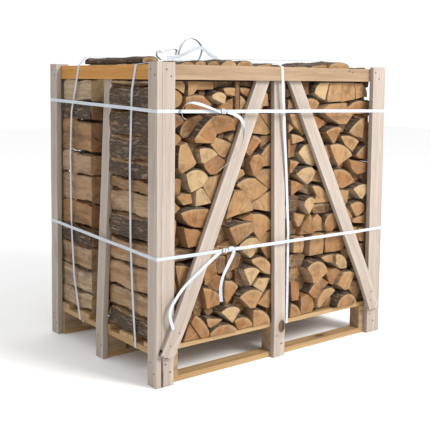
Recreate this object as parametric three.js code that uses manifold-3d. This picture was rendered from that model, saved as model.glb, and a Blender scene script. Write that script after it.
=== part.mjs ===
import * as THREE from "three";
import { mergeVertices } from "three/addons/utils/BufferGeometryUtils.js";
import Module from "manifold-3d";

// A pallet of split oak firewood: a four-way softwood pallet, an open frame of nailed boards round it,
// two rows of split billets stacked on it with their sawn ends to the front and the back, and woven
// straps round it both ways. Millimetres, X along the long face, Y from the front to the back, Z up.

// Overall sizes of the crate
const LENGTH = 1200;
const WIDTH = 846;
const HEIGHT = 1184;
// Space left between pieces that touch
const GAP = 0.3;

// Heights of the pallet's layers
const RUNNER_TOP = 22;
const BLOCK_TOP = 101.7;
const STRINGER_TOP = 123.7;
const DECK_TOP = 142;
// Pallet members
const BOARD_THICK = 22;
const RUNNER_WIDTH = 55;
const DECK_BOARD_WIDTH = 100;
const DECK_BOARDS = 5;
const BLOCK_SPANS = { left: [22.3, 110], middle: [568, 648], right: [1093, 1177.7] };

// Upright frame: corner planks, rails, middle posts
const LONG_SIDE_PLANK = 54.7;
const SHORT_SIDE_PLANK = 60;
const RAIL_BOTTOM = 1121;
const RAIL_TOP = 1176;
const POST_WIDTH = 58;
const POST_TOP = 1172;
// The middle posts stand straight to the deck, then lean in until they are behind the rail
const POST_PLACES = { front: [567, 588], right: [400, 405], back: [567, 588], left: [400, 395] };

// Diagonal boards, nailed over the corner planks below and behind the rail above
const DIAGONAL_THICK = 20;
const DIAGONAL_WIDTH = 67;
const DIAGONAL_FOOT = 113;
const DIAGONAL_BEND = 266;
const DIAGONAL_TOP = 1158;
const DIAGONALS = {
  left: { footCentre: 34.2, topCentre: 548.2 },
  right: { footCentre: 1148.9, topCentre: 683.9 },
};

// Straps of woven band
const BAND_WIDTH = 13;
const BAND_THICK = 1;
// Height of each level band at the front left corner, and its rise along X and along Y
const LEVEL_BANDS = {
  upper: { height: 1009, alongX: -16, alongY: 22 },
  lower: { height: 478, alongX: -7, alongY: 25 },
};

// Log rows
const FACE_START = 26;
const FACE_LEAN = 0.042;
// Ends nearer than this to a side of the crate start behind its corner planks
const CORNER_REACH = 80;
// The stretch of each long side that the upright band covers, from left to right as seen from outside
const BAND_ON_FRONT = [600, 664];
const BAND_ON_BACK = [536, 600];
const FRONT_ROW_DEPTH = 384;
const BACK_ROW_DEPTH = 311;
// The ends are drawn as the eye separates them, and grown by this so that neighbours meet, but not at
// the tops nor in the strip along the row's two outer sides, which show the billets apart
const GROWTH = 8;
const OUTER_STRIP = 60;
const FREE_TOP = RAIL_TOP - 20;
const ARC_STEPS = 2;
// Least area of an end, and least change that one of its corners makes, in square millimetres
const LEAST_END = 2100;
const LEAST_BACK_END = 3500;
const LEAST_CHANGE = 800;
const LEAST_OUTER_CHANGE = 350;
// Where the far left column begins, on the back row as seen from behind
const FAR_COLUMN_START = 1095;
const NEAR_COLUMN = [
  [-8, 8, 28, 1010, 30, 1096, 112, 1092, 140, 1083, 166, 1058, 158, 1028, 120, 1008],
  [-6, 8, 30, 910, 28, 1000, 112, 1000, 150, 993, 172, 965, 120, 938, 80, 908],
  [-8, 8, 28, 818, 28, 902, 112, 930, 150, 915, 160, 903, 116, 868, 100, 818],
  [-5, 8, 26, 748, 28, 812, 112, 860, 119, 792, 118, 762],
  [-5, 0, 28, 697, 28, 744, 103, 758, 147, 758, 143, 700, 105, 690],
  [-6, 0, 28, 604, 28, 694, 104, 686, 132, 654, 150, 646, 120, 628, 104, 606],
  [-6, 10, 26, 512, 28, 596, 103, 604, 124, 606, 120, 560, 108, 500],
  [-5, 0, 28, 416, 28, 506, 104, 494, 100, 440, 98, 418],
  [-3, 0, 26, 312, 26, 408, 100, 412, 120, 336, 98, 318],
  [-3, 0, 28, 226, 28, 306, 96, 312, 104, 300, 104, 232],
  [-3, 8, 28, 145, 28, 218, 90, 226, 130, 186, 128, 145],
];
const FACE = [
  [0, 0, 107, 232, 104, 312, 150, 300, 182, 240, 150, 190, 132, 190],
  [8, 0, 134, 145, 148, 182, 163, 210, 210, 145],
  [14, 10, 185, 241, 252, 165, 250, 145, 213, 145, 165, 213],
  [6, 5, 243, 214, 322, 199, 298, 184, 262, 174, 250, 184],
  [18, 32, 254, 160, 388, 145, 254, 145],
  [12, 22, 372, 186, 467, 160, 467, 145, 393, 145],
  [16, 18, 468, 213, 558, 160, 556, 145, 468, 145],
  [-20, 8, 566, 202, 640, 205, 668, 150, 600, 145, 562, 145],
  [10, 14, 676, 203, 735, 150, 735, 145, 670, 145],
  [4, 0, 739, 222, 775, 226, 806, 205, 818, 165, 800, 145, 738, 145],
  [18, 14, 858, 234, 930, 222, 832, 160, 822, 175, 824, 198],
  [25, 55, 931, 147, 1059, 145],
  [-14, 0, 840, 147, 880, 185, 925, 196, 935, 180, 925, 147],
  [0, 0, 1022, 216, 1060, 243, 1106, 226, 1112, 205, 1085, 166, 1066, 166, 1048, 192],
  [-10, 0, 1064, 147, 1068, 162, 1088, 166, 1114, 200, 1172, 196, 1172, 147],
  [-12, 8, 1040, 255, 1062, 300, 1100, 290, 1108, 240, 1052, 247],
  [-6, 0, 1104, 290, 1172, 285, 1172, 212, 1118, 205, 1110, 240],
  [12, 10, 222, 338, 305, 300, 305, 260, 243, 252, 234, 300],
  [-14, 0, 183, 246, 198, 300, 222, 325, 232, 300, 240, 256, 200, 250],
  [20, 20, 303, 232, 400, 228, 360, 180],
  [-8, 8, 243, 345, 300, 376, 328, 362, 322, 312, 306, 304],
  [12, 12, 328, 350, 398, 318, 338, 253, 326, 290],
  [12, 24, 402, 272, 523, 275, 483, 218, 460, 218],
  [6, 0, 503, 228, 560, 276, 594, 279, 565, 200, 545, 206],
  [16, 3, 512, 331, 572, 326, 553, 290, 535, 268, 484, 303],
  [25, 14, 412, 385, 500, 368, 450, 313],
  [-12, 0, 402, 322, 398, 380, 425, 380, 445, 320, 440, 300],
  [-10, 8, 298, 440, 352, 440, 352, 378, 318, 372, 300, 398],
  [-5, 0, 356, 372, 354, 445, 402, 450, 430, 440, 412, 388],
  [8, 0, 238, 354, 235, 400, 250, 425, 290, 433, 298, 378],
  [0, 0, 150, 340, 185, 425, 232, 430, 234, 355, 215, 330, 190, 310],
  [2, 6, 105, 437, 182, 422, 140, 335, 126, 335],
  [16, 22, 460, 415, 563, 385, 561, 343, 540, 347, 470, 397],
  [12, 14, 402, 476, 488, 502, 512, 478, 480, 430, 462, 420, 432, 442],
  [-10, 0, 520, 478, 558, 510, 592, 512, 592, 400, 566, 400, 540, 440],
  [0, 0, 684, 290, 706, 292, 734, 276, 733, 206, 692, 208],
  [25, 26, 757, 342, 865, 342, 880, 310, 815, 277, 794, 272, 782, 310],
  [10, 8, 776, 234, 850, 290, 900, 258, 860, 234, 826, 197, 800, 212],
  [8, 0, 880, 308, 950, 315, 976, 297, 935, 253, 925, 243, 902, 256],
  [25, 8, 975, 298, 1047, 285, 1010, 218, 985, 215, 935, 248],
  [22, 14, 930, 380, 1000, 340, 998, 310, 960, 312, 932, 337],
  [5, 5, 857, 372, 929, 379, 931, 338, 888, 348],
  [-8, 0, 985, 386, 1003, 402, 1042, 352, 1025, 335],
  [-15, 0, 1003, 305, 1005, 340, 1022, 332, 1050, 335, 1062, 302],
  [15, 0, 878, 392, 872, 432, 882, 475, 986, 475, 990, 430, 985, 395, 940, 389],
  [12, 0, 783, 388, 786, 440, 800, 476, 866, 476, 868, 430, 862, 389],
  [15, 0, 690, 414, 690, 476, 748, 478, 750, 440, 743, 408],
  [-10, 10, 690, 348, 690, 402, 745, 404, 778, 388, 755, 345],
  [2, 0, 1083, 446, 1090, 475, 1172, 475, 1172, 405, 1140, 405, 1102, 412],
  [0, 0, 994, 410, 994, 476, 1040, 476, 1050, 400, 1010, 398],
  [0, 0, 1046, 476, 1082, 476, 1098, 412, 1085, 385, 1055, 392],
  [-2, 0, 1102, 404, 1172, 400, 1172, 325, 1138, 330, 1105, 360],
  [3, 8, 1066, 304, 1050, 350, 1085, 380, 1102, 358, 1136, 326, 1130, 295],
  [14, 0, 140, 574, 165, 566, 205, 560, 222, 548, 218, 500, 160, 497, 150, 530],
  [-6, 8, 104, 446, 110, 494, 207, 487, 190, 450],
  [-2, 0, 195, 452, 212, 486, 222, 500, 262, 500, 300, 478, 296, 442, 250, 432],
  [-8, 8, 300, 446, 305, 482, 372, 500, 398, 478, 400, 455, 352, 444],
  [22, 6, 347, 553, 455, 569, 478, 532, 440, 511, 385, 482, 373, 502],
  [-5, 0, 225, 502, 226, 548, 250, 566, 300, 560, 318, 520, 290, 490],
  [-18, 0, 300, 488, 322, 545, 345, 552, 368, 500, 352, 486],
  [18, 18, 482, 592, 592, 548, 585, 524, 560, 516, 522, 478, 480, 535],
  [6, 0, 425, 578, 478, 598, 484, 562, 445, 566],
  [12, 0, 727, 483, 747, 520, 787, 565, 796, 560, 812, 520, 814, 483],
  [5, 0, 700, 578, 766, 563, 740, 518, 724, 516, 706, 550],
  [-14, 0, 688, 484, 690, 545, 705, 545, 724, 514, 738, 512, 726, 484],
  [25, 40, 868, 515, 957, 530, 935, 494, 912, 479, 884, 481],
  [2, 10, 818, 486, 812, 540, 840, 562, 866, 540, 872, 485],
  [-10, 0, 930, 482, 958, 515, 990, 500, 996, 478],
  [0, 0, 962, 522, 965, 565, 1015, 578, 1045, 520, 1040, 485, 1000, 482],
  [-6, 0, 1022, 577, 1040, 560, 1069, 525, 1050, 514],
  [4, 0, 1048, 508, 1066, 523, 1112, 527, 1172, 545, 1172, 486, 1060, 499],
  [8, 18, 1036, 580, 1130, 576, 1126, 545, 1090, 528, 1074, 527],
  [-4, 0, 1133, 600, 1172, 605, 1172, 550, 1130, 545],
  [18, 14, 125, 632, 278, 628, 258, 590, 243, 563, 186, 572, 160, 585, 140, 605],
  [14, 0, 200, 706, 222, 717, 236, 710, 275, 655, 198, 648],
  [0, 0, 120, 688, 145, 700, 186, 695, 193, 660, 150, 655],
  [12, 26, 155, 774, 262, 754, 235, 722, 180, 702, 166, 730],
  [5, 0, 262, 752, 308, 757, 303, 700, 278, 655, 238, 720],
  [-10, 0, 282, 640, 306, 700, 330, 690, 352, 640, 345, 590, 300, 600],
  [-4, 0, 308, 706, 312, 757, 345, 770, 380, 720, 360, 650, 335, 695],
  [-6, 0, 247, 562, 262, 596, 282, 628, 340, 620, 342, 585, 318, 560],
  [10, 0, 345, 586, 358, 640, 386, 692, 426, 691, 474, 636, 480, 608, 402, 598],
  [4, 0, 484, 612, 486, 636, 525, 652, 562, 672, 592, 678, 592, 592, 560, 596, 520, 606],
  [18, 12, 405, 714, 495, 737, 573, 686, 540, 662, 480, 639, 432, 692],
  [5, 0, 500, 740, 530, 763, 592, 768, 592, 689, 576, 687],
  [-8, 5, 395, 730, 418, 778, 447, 770, 455, 752, 440, 743, 402, 722],
  [22, 16, 750, 622, 808, 630, 800, 600, 778, 567, 748, 600],
  [-15, 0, 690, 582, 690, 645, 706, 655, 745, 640, 748, 600, 735, 575],
  [5, 0, 687, 710, 722, 706, 756, 690, 735, 672, 704, 654, 690, 650],
  [18, 12, 713, 737, 800, 764, 826, 742, 800, 702, 778, 690],
  [-10, 10, 740, 668, 765, 690, 800, 686, 826, 655, 812, 640, 780, 650],
  [15, 14, 800, 684, 884, 650, 905, 606, 808, 609, 826, 640],
  [0, 0, 806, 704, 830, 742, 850, 746, 890, 690, 850, 694],
  [4, 4, 800, 602, 905, 602, 950, 575, 925, 562, 862, 560, 815, 565],
  [2, 0, 960, 640, 975, 652, 1036, 646, 1029, 605, 1015, 582, 985, 585],
  [-14, 0, 1036, 612, 1040, 646, 1078, 612, 1060, 600],
  [22, 14, 1040, 654, 1146, 665, 1141, 640, 1098, 602, 1080, 612],
  [-4, 0, 1148, 668, 1172, 672, 1172, 610, 1136, 606, 1118, 622],
  [14, 12, 932, 742, 1032, 724, 1066, 682, 985, 657, 950, 670, 925, 700],
  [-3, 0, 888, 650, 880, 690, 925, 698, 960, 662, 958, 610, 912, 608],
  [-6, 0, 1118, 692, 1122, 714, 1150, 728, 1172, 730, 1172, 676, 1150, 674],
  [-16, 0, 1068, 684, 1072, 712, 1116, 708, 1114, 682],
  [18, 0, 1015, 783, 1060, 776, 1120, 766, 1172, 752, 1172, 736, 1120, 718, 1075, 712, 1040, 736],
  [12, 5, 122, 795, 128, 880, 160, 890, 178, 862, 205, 812, 196, 800, 140, 775],
  [20, 16, 212, 864, 302, 840, 234, 808, 222, 814],
  [15, 0, 238, 812, 302, 838, 345, 815, 345, 800, 325, 775, 300, 762, 272, 763, 246, 790],
  [15, 6, 298, 905, 397, 868, 345, 822, 315, 835, 276, 876],
  [0, 0, 362, 898, 396, 916, 399, 880, 386, 874],
  [-12, 0, 178, 866, 176, 886, 262, 882, 212, 864, 206, 818],
  [18, 9, 478, 828, 526, 822, 527, 778, 500, 748, 478, 745, 457, 800],
  [12, 6, 530, 822, 592, 878, 592, 779, 530, 776],
  [12, 6, 488, 905, 534, 885, 472, 822, 448, 842],
  [-2, 0, 350, 790, 352, 818, 398, 862, 420, 850, 430, 800, 412, 776],
  [-4, 0, 402, 868, 404, 912, 440, 930, 485, 905, 448, 846, 424, 852],
  [-10, 0, 432, 800, 428, 842, 446, 838, 455, 800, 450, 776],
  [12, 0, 494, 912, 512, 988, 527, 988, 592, 914, 570, 904],
  [-8, 0, 534, 988, 592, 990, 592, 925],
  [-8, 0, 536, 850, 538, 898, 592, 902, 592, 882],
  [5, 4, 685, 798, 738, 785, 715, 765, 695, 742, 683, 745],
  [-5, 0, 683, 804, 683, 882, 697, 880, 700, 806],
  [22, 10, 730, 826, 790, 864, 836, 800, 838, 790, 815, 765, 778, 776, 745, 812],
  [-15, 0, 702, 806, 700, 858, 742, 862, 728, 826, 742, 806],
  [8, 8, 690, 903, 768, 881, 765, 874, 700, 862],
  [0, 0, 683, 908, 684, 948, 712, 926],
  [5, 0, 686, 986, 742, 988, 753, 945, 738, 918, 706, 944],
  [0, 0, 756, 986, 812, 986, 826, 960, 800, 905, 760, 895, 745, 915],
  [-4, 0, 772, 868, 790, 900, 855, 912, 880, 870, 870, 845, 800, 850],
  [-3, 0, 818, 846, 880, 842, 905, 848, 930, 800, 905, 760, 850, 762, 840, 795],
  [0, 0, 828, 976, 862, 965, 897, 946, 858, 918, 830, 950],
  [18, 14, 880, 908, 978, 922, 938, 860, 925, 855],
  [18, 6, 1022, 903, 1090, 958, 1122, 962, 1112, 872, 1068, 881],
  [5, 0, 1124, 940, 1150, 943, 1172, 930, 1172, 858, 1120, 857],
  [12, 14, 976, 886, 1092, 860, 1050, 815, 1004, 845],
  [15, 22, 905, 850, 1040, 812, 1045, 798, 1012, 784, 960, 758, 936, 790],
  [15, 6, 1066, 800, 1130, 846, 1172, 846, 1172, 772, 1085, 785],
  [-14, 0, 982, 925, 1000, 938, 1040, 942, 1018, 902, 975, 892, 965, 900],
  [24, 6, 190, 905, 272, 985, 297, 984, 300, 930, 280, 882, 195, 888],
  [-15, 8, 150, 918, 172, 968, 240, 990, 262, 978, 195, 910, 165, 903],
  [12, 10, 292, 986, 386, 975, 393, 930, 350, 925, 300, 915],
  [6, 6, 165, 1058, 240, 1066, 283, 1032, 270, 1000, 162, 998],
  [8, 0, 174, 1116, 229, 1116, 221, 1090, 200, 1068, 175, 1060],
  [0, 0, 30, 1104, 32, 1117, 160, 1117, 171, 1100, 166, 1068, 148, 1084],
  [-4, 0, 232, 1116, 302, 1116, 302, 1086, 226, 1084],
  [16, 18, 278, 1062, 350, 1062, 340, 1030, 286, 1050],
  [6, 5, 340, 1090, 402, 1092, 400, 1060, 352, 1068],
  [-10, 0, 322, 1010, 345, 1028, 400, 1052, 400, 1006],
  [-12, 0, 306, 1090, 308, 1117, 400, 1117, 400, 1100, 340, 1096],
  [2, 0, 405, 1006, 404, 1117, 424, 1117, 424, 1006],
  [-4, 0, 400, 918, 398, 1000, 430, 1002, 470, 985, 440, 935],
  [10, 8, 427, 1092, 497, 1080, 482, 1050, 434, 1074],
  [6, 8, 428, 1062, 468, 1020, 460, 1004, 427, 1004],
  [-10, 0, 428, 1104, 430, 1117, 500, 1117, 498, 1092],
  [-2, 0, 474, 1000, 484, 1046, 520, 1062, 550, 1020, 535, 992],
  [5, 0, 537, 1018, 562, 1080, 575, 1066, 580, 1020],
  [-5, 0, 502, 1066, 504, 1117, 560, 1117, 556, 1078, 530, 1060],
  [-14, 0, 566, 1090, 566, 1117, 592, 1117, 592, 1070],
  [6, 0, 681, 1046, 700, 1036, 713, 1009, 681, 1006],
  [-5, 0, 681, 1088, 694, 1088, 704, 1060, 681, 1054],
  [-3, 0, 718, 1008, 705, 1045, 720, 1062, 772, 1050, 784, 1008],
  [-5, 0, 698, 1092, 700, 1117, 752, 1117, 775, 1062, 720, 1068],
  [-12, 0, 768, 1117, 812, 1117, 812, 1064, 784, 1062],
  [10, 12, 786, 1046, 862, 1031, 846, 1003, 788, 1001],
  [15, 6, 818, 1072, 842, 1114, 905, 1116, 882, 1041, 850, 1053],
  [18, 0, 908, 1116, 982, 1116, 975, 1036, 900, 1032, 890, 1046],
  [15, 0, 986, 1116, 1050, 1116, 1066, 1085, 1064, 1044, 1010, 1036, 979, 1032],
  [12, 10, 1110, 1116, 1148, 1058, 1072, 1043, 1070, 1086, 1056, 1116],
  [-4, 0, 1114, 1118, 1176, 1118, 1172, 1103, 1132, 1100],
  [12, 24, 1018, 1012, 1172, 1022, 1172, 978, 1062, 978, 1012, 990],
  [18, 0, 862, 1002, 900, 1024, 1006, 1029, 1014, 990, 1056, 984, 1010, 938, 965, 937, 890, 975],
  [-6, 0, 1060, 974, 1172, 974, 1172, 948, 1128, 945, 1122, 964, 1090, 962],
];
const BEHIND_POST = [
  [-25, 0, 570, 208, 598, 286, 640, 292, 680, 270, 676, 210, 640, 208],
  [-30, 0, 576, 330, 590, 290, 640, 298, 684, 296, 686, 344, 610, 346],
  [-25, 0, 568, 345, 596, 398, 680, 404, 684, 350],
  [-20, 0, 597, 404, 597, 474, 640, 480, 684, 470, 684, 410],
  [-30, 0, 594, 516, 598, 550, 640, 556, 684, 540, 682, 480, 600, 482],
  [-20, 0, 597, 558, 597, 624, 650, 630, 685, 600, 685, 552],
  [-25, 0, 597, 632, 597, 700, 640, 706, 683, 690, 684, 640],
  [-20, 0, 597, 706, 597, 786, 630, 792, 680, 770, 680, 710],
  [-25, 0, 597, 792, 597, 868, 650, 874, 679, 850, 679, 782],
  [-20, 0, 597, 876, 597, 948, 640, 954, 680, 930, 679, 880],
  [-25, 0, 597, 956, 597, 1034, 640, 1040, 677, 1020, 680, 960],
  [-20, 0, 597, 1042, 597, 1117, 677, 1117, 677, 1044],
];
const TOP_COURSE = [
  [0, 5, 46, 1166, 138, 1170, 138, 1121, 46, 1121],
  [0, 12, 142, 1178, 214, 1182, 216, 1121, 140, 1121],
  [-6, 6, 218, 1188, 270, 1192, 268, 1121, 218, 1121],
  [-4, 8, 274, 1186, 330, 1193, 332, 1121, 272, 1121],
  [4, 14, 336, 1186, 410, 1188, 408, 1121, 334, 1121],
  [6, 18, 414, 1184, 503, 1184, 500, 1121, 411, 1121],
  [0, 5, 508, 1180, 600, 1184, 602, 1121, 504, 1121],
  [-2, 4, 606, 1178, 682, 1180, 684, 1121, 604, 1121],
  [0, 5, 688, 1176, 796, 1182, 800, 1121, 686, 1121],
  [0, 6, 802, 1180, 910, 1193, 912, 1121, 802, 1121],
  [6, 14, 914, 1192, 1040, 1192, 1046, 1150, 1034, 1121, 914, 1121],
  [0, 5, 1052, 1172, 1154, 1174, 1154, 1124, 1046, 1121],
];
const FAR_COLUMN = [
  [-2, 0, 1172, 1026, 1172, 1117, 1092, 1117, 1084, 1070, 1092, 1028],
  [-6, 8, 1172, 954, 1172, 1020, 1110, 1022, 1080, 985, 1100, 952],
  [0, 0, 1172, 818, 1172, 946, 1106, 940, 1078, 880, 1100, 820],
  [-4, 0, 1174, 726, 1174, 811, 1110, 806, 1084, 760, 1110, 728],
  [-2, 0, 1170, 606, 1172, 718, 1112, 716, 1086, 660, 1108, 604],
  [-6, 0, 1172, 502, 1172, 600, 1104, 596, 1084, 548, 1102, 500],
  [-4, 7, 1170, 424, 1170, 494, 1120, 498, 1078, 462, 1112, 422],
  [-2, 0, 1173, 325, 1173, 418, 1106, 414, 1082, 370, 1104, 326],
  [-5, 0, 1170, 225, 1172, 318, 1108, 320, 1080, 270, 1102, 226],
  [-3, 0, 1173, 146, 1173, 218, 1112, 220, 1078, 180, 1098, 146],
];

const wasm = await Module();
wasm.setup();

const crate = new THREE.Group();
crate.position.set(-LENGTH / 2, -WIDTH / 2, 0);

function paint(color, roughness) {
  return new THREE.MeshStandardMaterial({ color, roughness, metalness: 0 });
}

function add(parent, name, geometry, color, roughness = 0.85) {
  const mesh = new THREE.Mesh(geometry, paint(color, roughness));
  mesh.name = name;
  parent.add(mesh);
  return mesh;
}

const PALE_SOFTWOOD = 0xd0bda8;
const TAN_SOFTWOOD = 0xc8a880;
const ORANGE_SOFTWOOD = 0xc08a48;
const OAK = 0xb48b5c;
const BARK = 0x7a6755;
const WHITE_BAND = 0xe4e8ec;

// A straight board given by its ends along X, Y and Z
function board(parent, name, x, y, z, color) {
  const geometry = new THREE.BoxGeometry(x[1] - x[0], y[1] - y[0], z[1] - z[0]);
  geometry.translate((x[0] + x[1]) / 2, (y[0] + y[1]) / 2, (z[0] + z[1]) / 2);
  return add(parent, name, geometry, color);
}

// Slides every vertex sideways by what the two functions give for it
function slide(geometry, dx, dy, dz) {
  const place = geometry.getAttribute("position");
  const p = new THREE.Vector3();
  for (let i = 0; i < place.count; i++) {
    p.fromBufferAttribute(place, i);
    place.setXYZ(i, p.x + dx(p), p.y + dy(p), p.z + dz(p));
  }
  return geometry;
}

const still = () => 0;

// An outline, with the hole that makes it a ring if there is one, carried straight on
function extruded(points, depth, hole) {
  const corners = points.map(([u, v]) => new THREE.Vector2(u, v));
  const clockwise = THREE.ShapeUtils.isClockWise(corners);
  const shape = new THREE.Shape(clockwise ? corners.reverse() : corners);
  if (hole) {
    const inner = hole.map(([u, v]) => new THREE.Vector2(u, v));
    shape.holes.push(new THREE.Path(clockwise ? inner.reverse() : inner));
  }
  return new THREE.ExtrudeGeometry(shape, { depth, bevelEnabled: false });
}

// Extrudes an outline drawn in Y and Z, from one X to the other
function alongX(points, x0, x1, hole) {
  const turn = new THREE.Matrix4().makeBasis(
    new THREE.Vector3(0, 1, 0),
    new THREE.Vector3(0, 0, 1),
    new THREE.Vector3(1, 0, 0),
  );
  return extruded(points, x1 - x0, hole).applyMatrix4(turn).translate(x0, 0, 0);
}

// Extrudes an outline drawn in X and Z, from one Y to the other
function alongY(points, y0, y1, hole) {
  return extruded(points, y1 - y0, hole).rotateX(Math.PI / 2).translate(0, y1, 0);
}

// Pallet: three runners, nine blocks, three stringers and the deck boards
const ROWS = {
  front: [BOARD_THICK + GAP, BOARD_THICK + GAP + RUNNER_WIDTH],
  middle: [(WIDTH - RUNNER_WIDTH) / 2, (WIDTH + RUNNER_WIDTH) / 2],
  back: [WIDTH - BOARD_THICK - GAP - RUNNER_WIDTH, WIDTH - BOARD_THICK - GAP],
};
const INNER_X = [BOARD_THICK + GAP, LENGTH - BOARD_THICK - GAP];
const INNER_Y = [BOARD_THICK + GAP, WIDTH - BOARD_THICK - GAP];
for (const [row, y] of Object.entries(ROWS)) {
  board(crate, `runner_${row}`, INNER_X, y, [0, RUNNER_TOP], ORANGE_SOFTWOOD);
  for (const [place, x] of Object.entries(BLOCK_SPANS)) {
    board(crate, `block_${row}_${place}`, x, y, [RUNNER_TOP + GAP, BLOCK_TOP], TAN_SOFTWOOD);
  }
}
for (const [place, x] of Object.entries(BLOCK_SPANS)) {
  board(crate, `stringer_${place}`, x, INNER_Y, [BLOCK_TOP + GAP, STRINGER_TOP], ORANGE_SOFTWOOD);
}
const deckPitch = (INNER_Y[1] - INNER_Y[0] - DECK_BOARD_WIDTH) / (DECK_BOARDS - 1);
for (let i = 0; i < DECK_BOARDS; i++) {
  const y0 = INNER_Y[0] + i * deckPitch;
  const z = [STRINGER_TOP + GAP, DECK_TOP];
  board(crate, `deck_board_${i + 1}`, INNER_X, [y0, y0 + DECK_BOARD_WIDTH], z, ORANGE_SOFTWOOD);
}

// The four sides, each a group whose X runs along the side from left to right as seen from outside
// and whose Y runs into the crate
const SIDES = {
  front: { turn: 0, x: 0, y: 0, span: LENGTH },
  right: { turn: Math.PI / 2, x: LENGTH, y: 0, span: WIDTH },
  back: { turn: Math.PI, x: LENGTH, y: WIDTH, span: LENGTH },
  left: { turn: -Math.PI / 2, x: 0, y: WIDTH, span: WIDTH },
};

// A board that follows a bent line of [depth, height] points with its back, and leans from one end
// to the other along the side
function bentBoard(side, name, back, thick, width, footX, topX, color) {
  const front = back.map(([y, z]) => [y - thick, z]).reverse();
  const [z0, z1] = [back[0][1], back[back.length - 1][1]];
  const geometry = alongX([...back, ...front], 0, width);
  const lean = (topX - footX) / (z1 - z0);
  slide(geometry, (p) => footX + (p.z - z0) * lean, still, still);
  return add(side, name, geometry, color);
}

// The back of a middle post as [depth, height]: flush with the planks below, a board behind the rail above
const postBack = [
  [BOARD_THICK - GAP, 0],
  [BOARD_THICK - GAP, DECK_TOP],
  [3 * BOARD_THICK + 2 * GAP, RAIL_BOTTOM],
  [3 * BOARD_THICK + 8 * GAP, POST_TOP],
];
const sideGroups = {};
for (const [name, side] of Object.entries(SIDES)) {
  const group = new THREE.Group();
  group.rotation.z = side.turn;
  group.position.set(side.x, side.y, 0);
  crate.add(group);
  sideGroups[name] = group;
  const long = name === "front" || name === "back";
  // The long sides' planks stand between the short sides' planks
  const start = long ? BOARD_THICK + GAP : 0;
  const width = long ? LONG_SIDE_PLANK : SHORT_SIDE_PLANK;
  const planks = [[start, start + width], [side.span - start - width, side.span - start]];
  board(group, `corner_plank_${name}_1`, planks[0], [0, BOARD_THICK], [0, HEIGHT], PALE_SOFTWOOD);
  board(group, `corner_plank_${name}_2`, planks[1], [0, BOARD_THICK], [0, HEIGHT], PALE_SOFTWOOD);
  // The rails lie inside the planks, the short ones between the long ones
  const railStart = long ? BOARD_THICK + GAP : 2 * BOARD_THICK + GAP;
  const railY = [BOARD_THICK + GAP, 2 * BOARD_THICK];
  board(group, `rail_${name}`, [railStart, side.span - railStart], railY, [RAIL_BOTTOM, RAIL_TOP],
    long ? TAN_SOFTWOOD : ORANGE_SOFTWOOD);
  const [footX, topX] = POST_PLACES[name];
  bentBoard(group, `middle_post_${name}`, postBack, BOARD_THICK, POST_WIDTH, footX, topX, PALE_SOFTWOOD);
}

// Diagonal boards on the front and the back
const DIAGONAL_IN_AT_RAIL = 64.9;
function diagonalBack(z) {
  const slope = DIAGONAL_IN_AT_RAIL / (RAIL_BOTTOM - DIAGONAL_BEND);
  return -GAP + Math.max(0, z - DIAGONAL_BEND) * slope;
}
const diagonalLine = [DIAGONAL_FOOT, DIAGONAL_BEND, DIAGONAL_TOP].map((z) => [diagonalBack(z), z]);
for (const side of ["front", "back"]) {
  for (const [place, d] of Object.entries(DIAGONALS)) {
    const [footX, topX] = [d.footCentre - DIAGONAL_WIDTH / 2, d.topCentre - DIAGONAL_WIDTH / 2];
    const name = `diagonal_${side}_${place}`;
    const group = sideGroups[side];
    bentBoard(group, name, diagonalLine, DIAGONAL_THICK, DIAGONAL_WIDTH, footX, topX, PALE_SOFTWOOD);
  }
}

// How far in a billet that covers this stretch of the face has to start to be behind the frame and
// behind the upright band, which covers the second stretch
function clearOfFrame(x0, x1, z0, z1, band) {
  let y = 0;
  if (x0 < CORNER_REACH || x1 > LENGTH - CORNER_REACH) y = BOARD_THICK + 2 * GAP;
  if (z1 > RAIL_BOTTOM) y = 2 * BOARD_THICK + 2 * GAP;
  if (x1 > band[0] && x0 < band[1]) y = Math.max(y, BOARD_THICK + 2 * GAP);
  const post = POST_PLACES.front;
  if (x1 > post[0] - 2 && x0 < post[1] + POST_WIDTH + 2) {
    const lean = (postBack[2][0] - postBack[1][0]) / (postBack[2][1] - postBack[1][1]);
    y = Math.max(y, postBack[1][0] + 2 * GAP + (Math.min(z1, POST_TOP) - DECK_TOP) * lean);
  }
  for (const d of Object.values(DIAGONALS)) {
    const lean = (d.topCentre - d.footCentre) / (DIAGONAL_TOP - DIAGONAL_FOOT);
    const ends = [z0, Math.min(z1, DIAGONAL_TOP)].map((z) => d.footCentre + (z - DIAGONAL_FOOT) * lean);
    const reach = DIAGONAL_WIDTH / 2 + 1;
    if (x1 > Math.min(...ends) - reach && x0 < Math.max(...ends) + reach) {
      y = Math.max(y, diagonalBack(Math.min(z1, DIAGONAL_TOP)) + 2 * GAP);
    }
  }
  return y;
}

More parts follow.
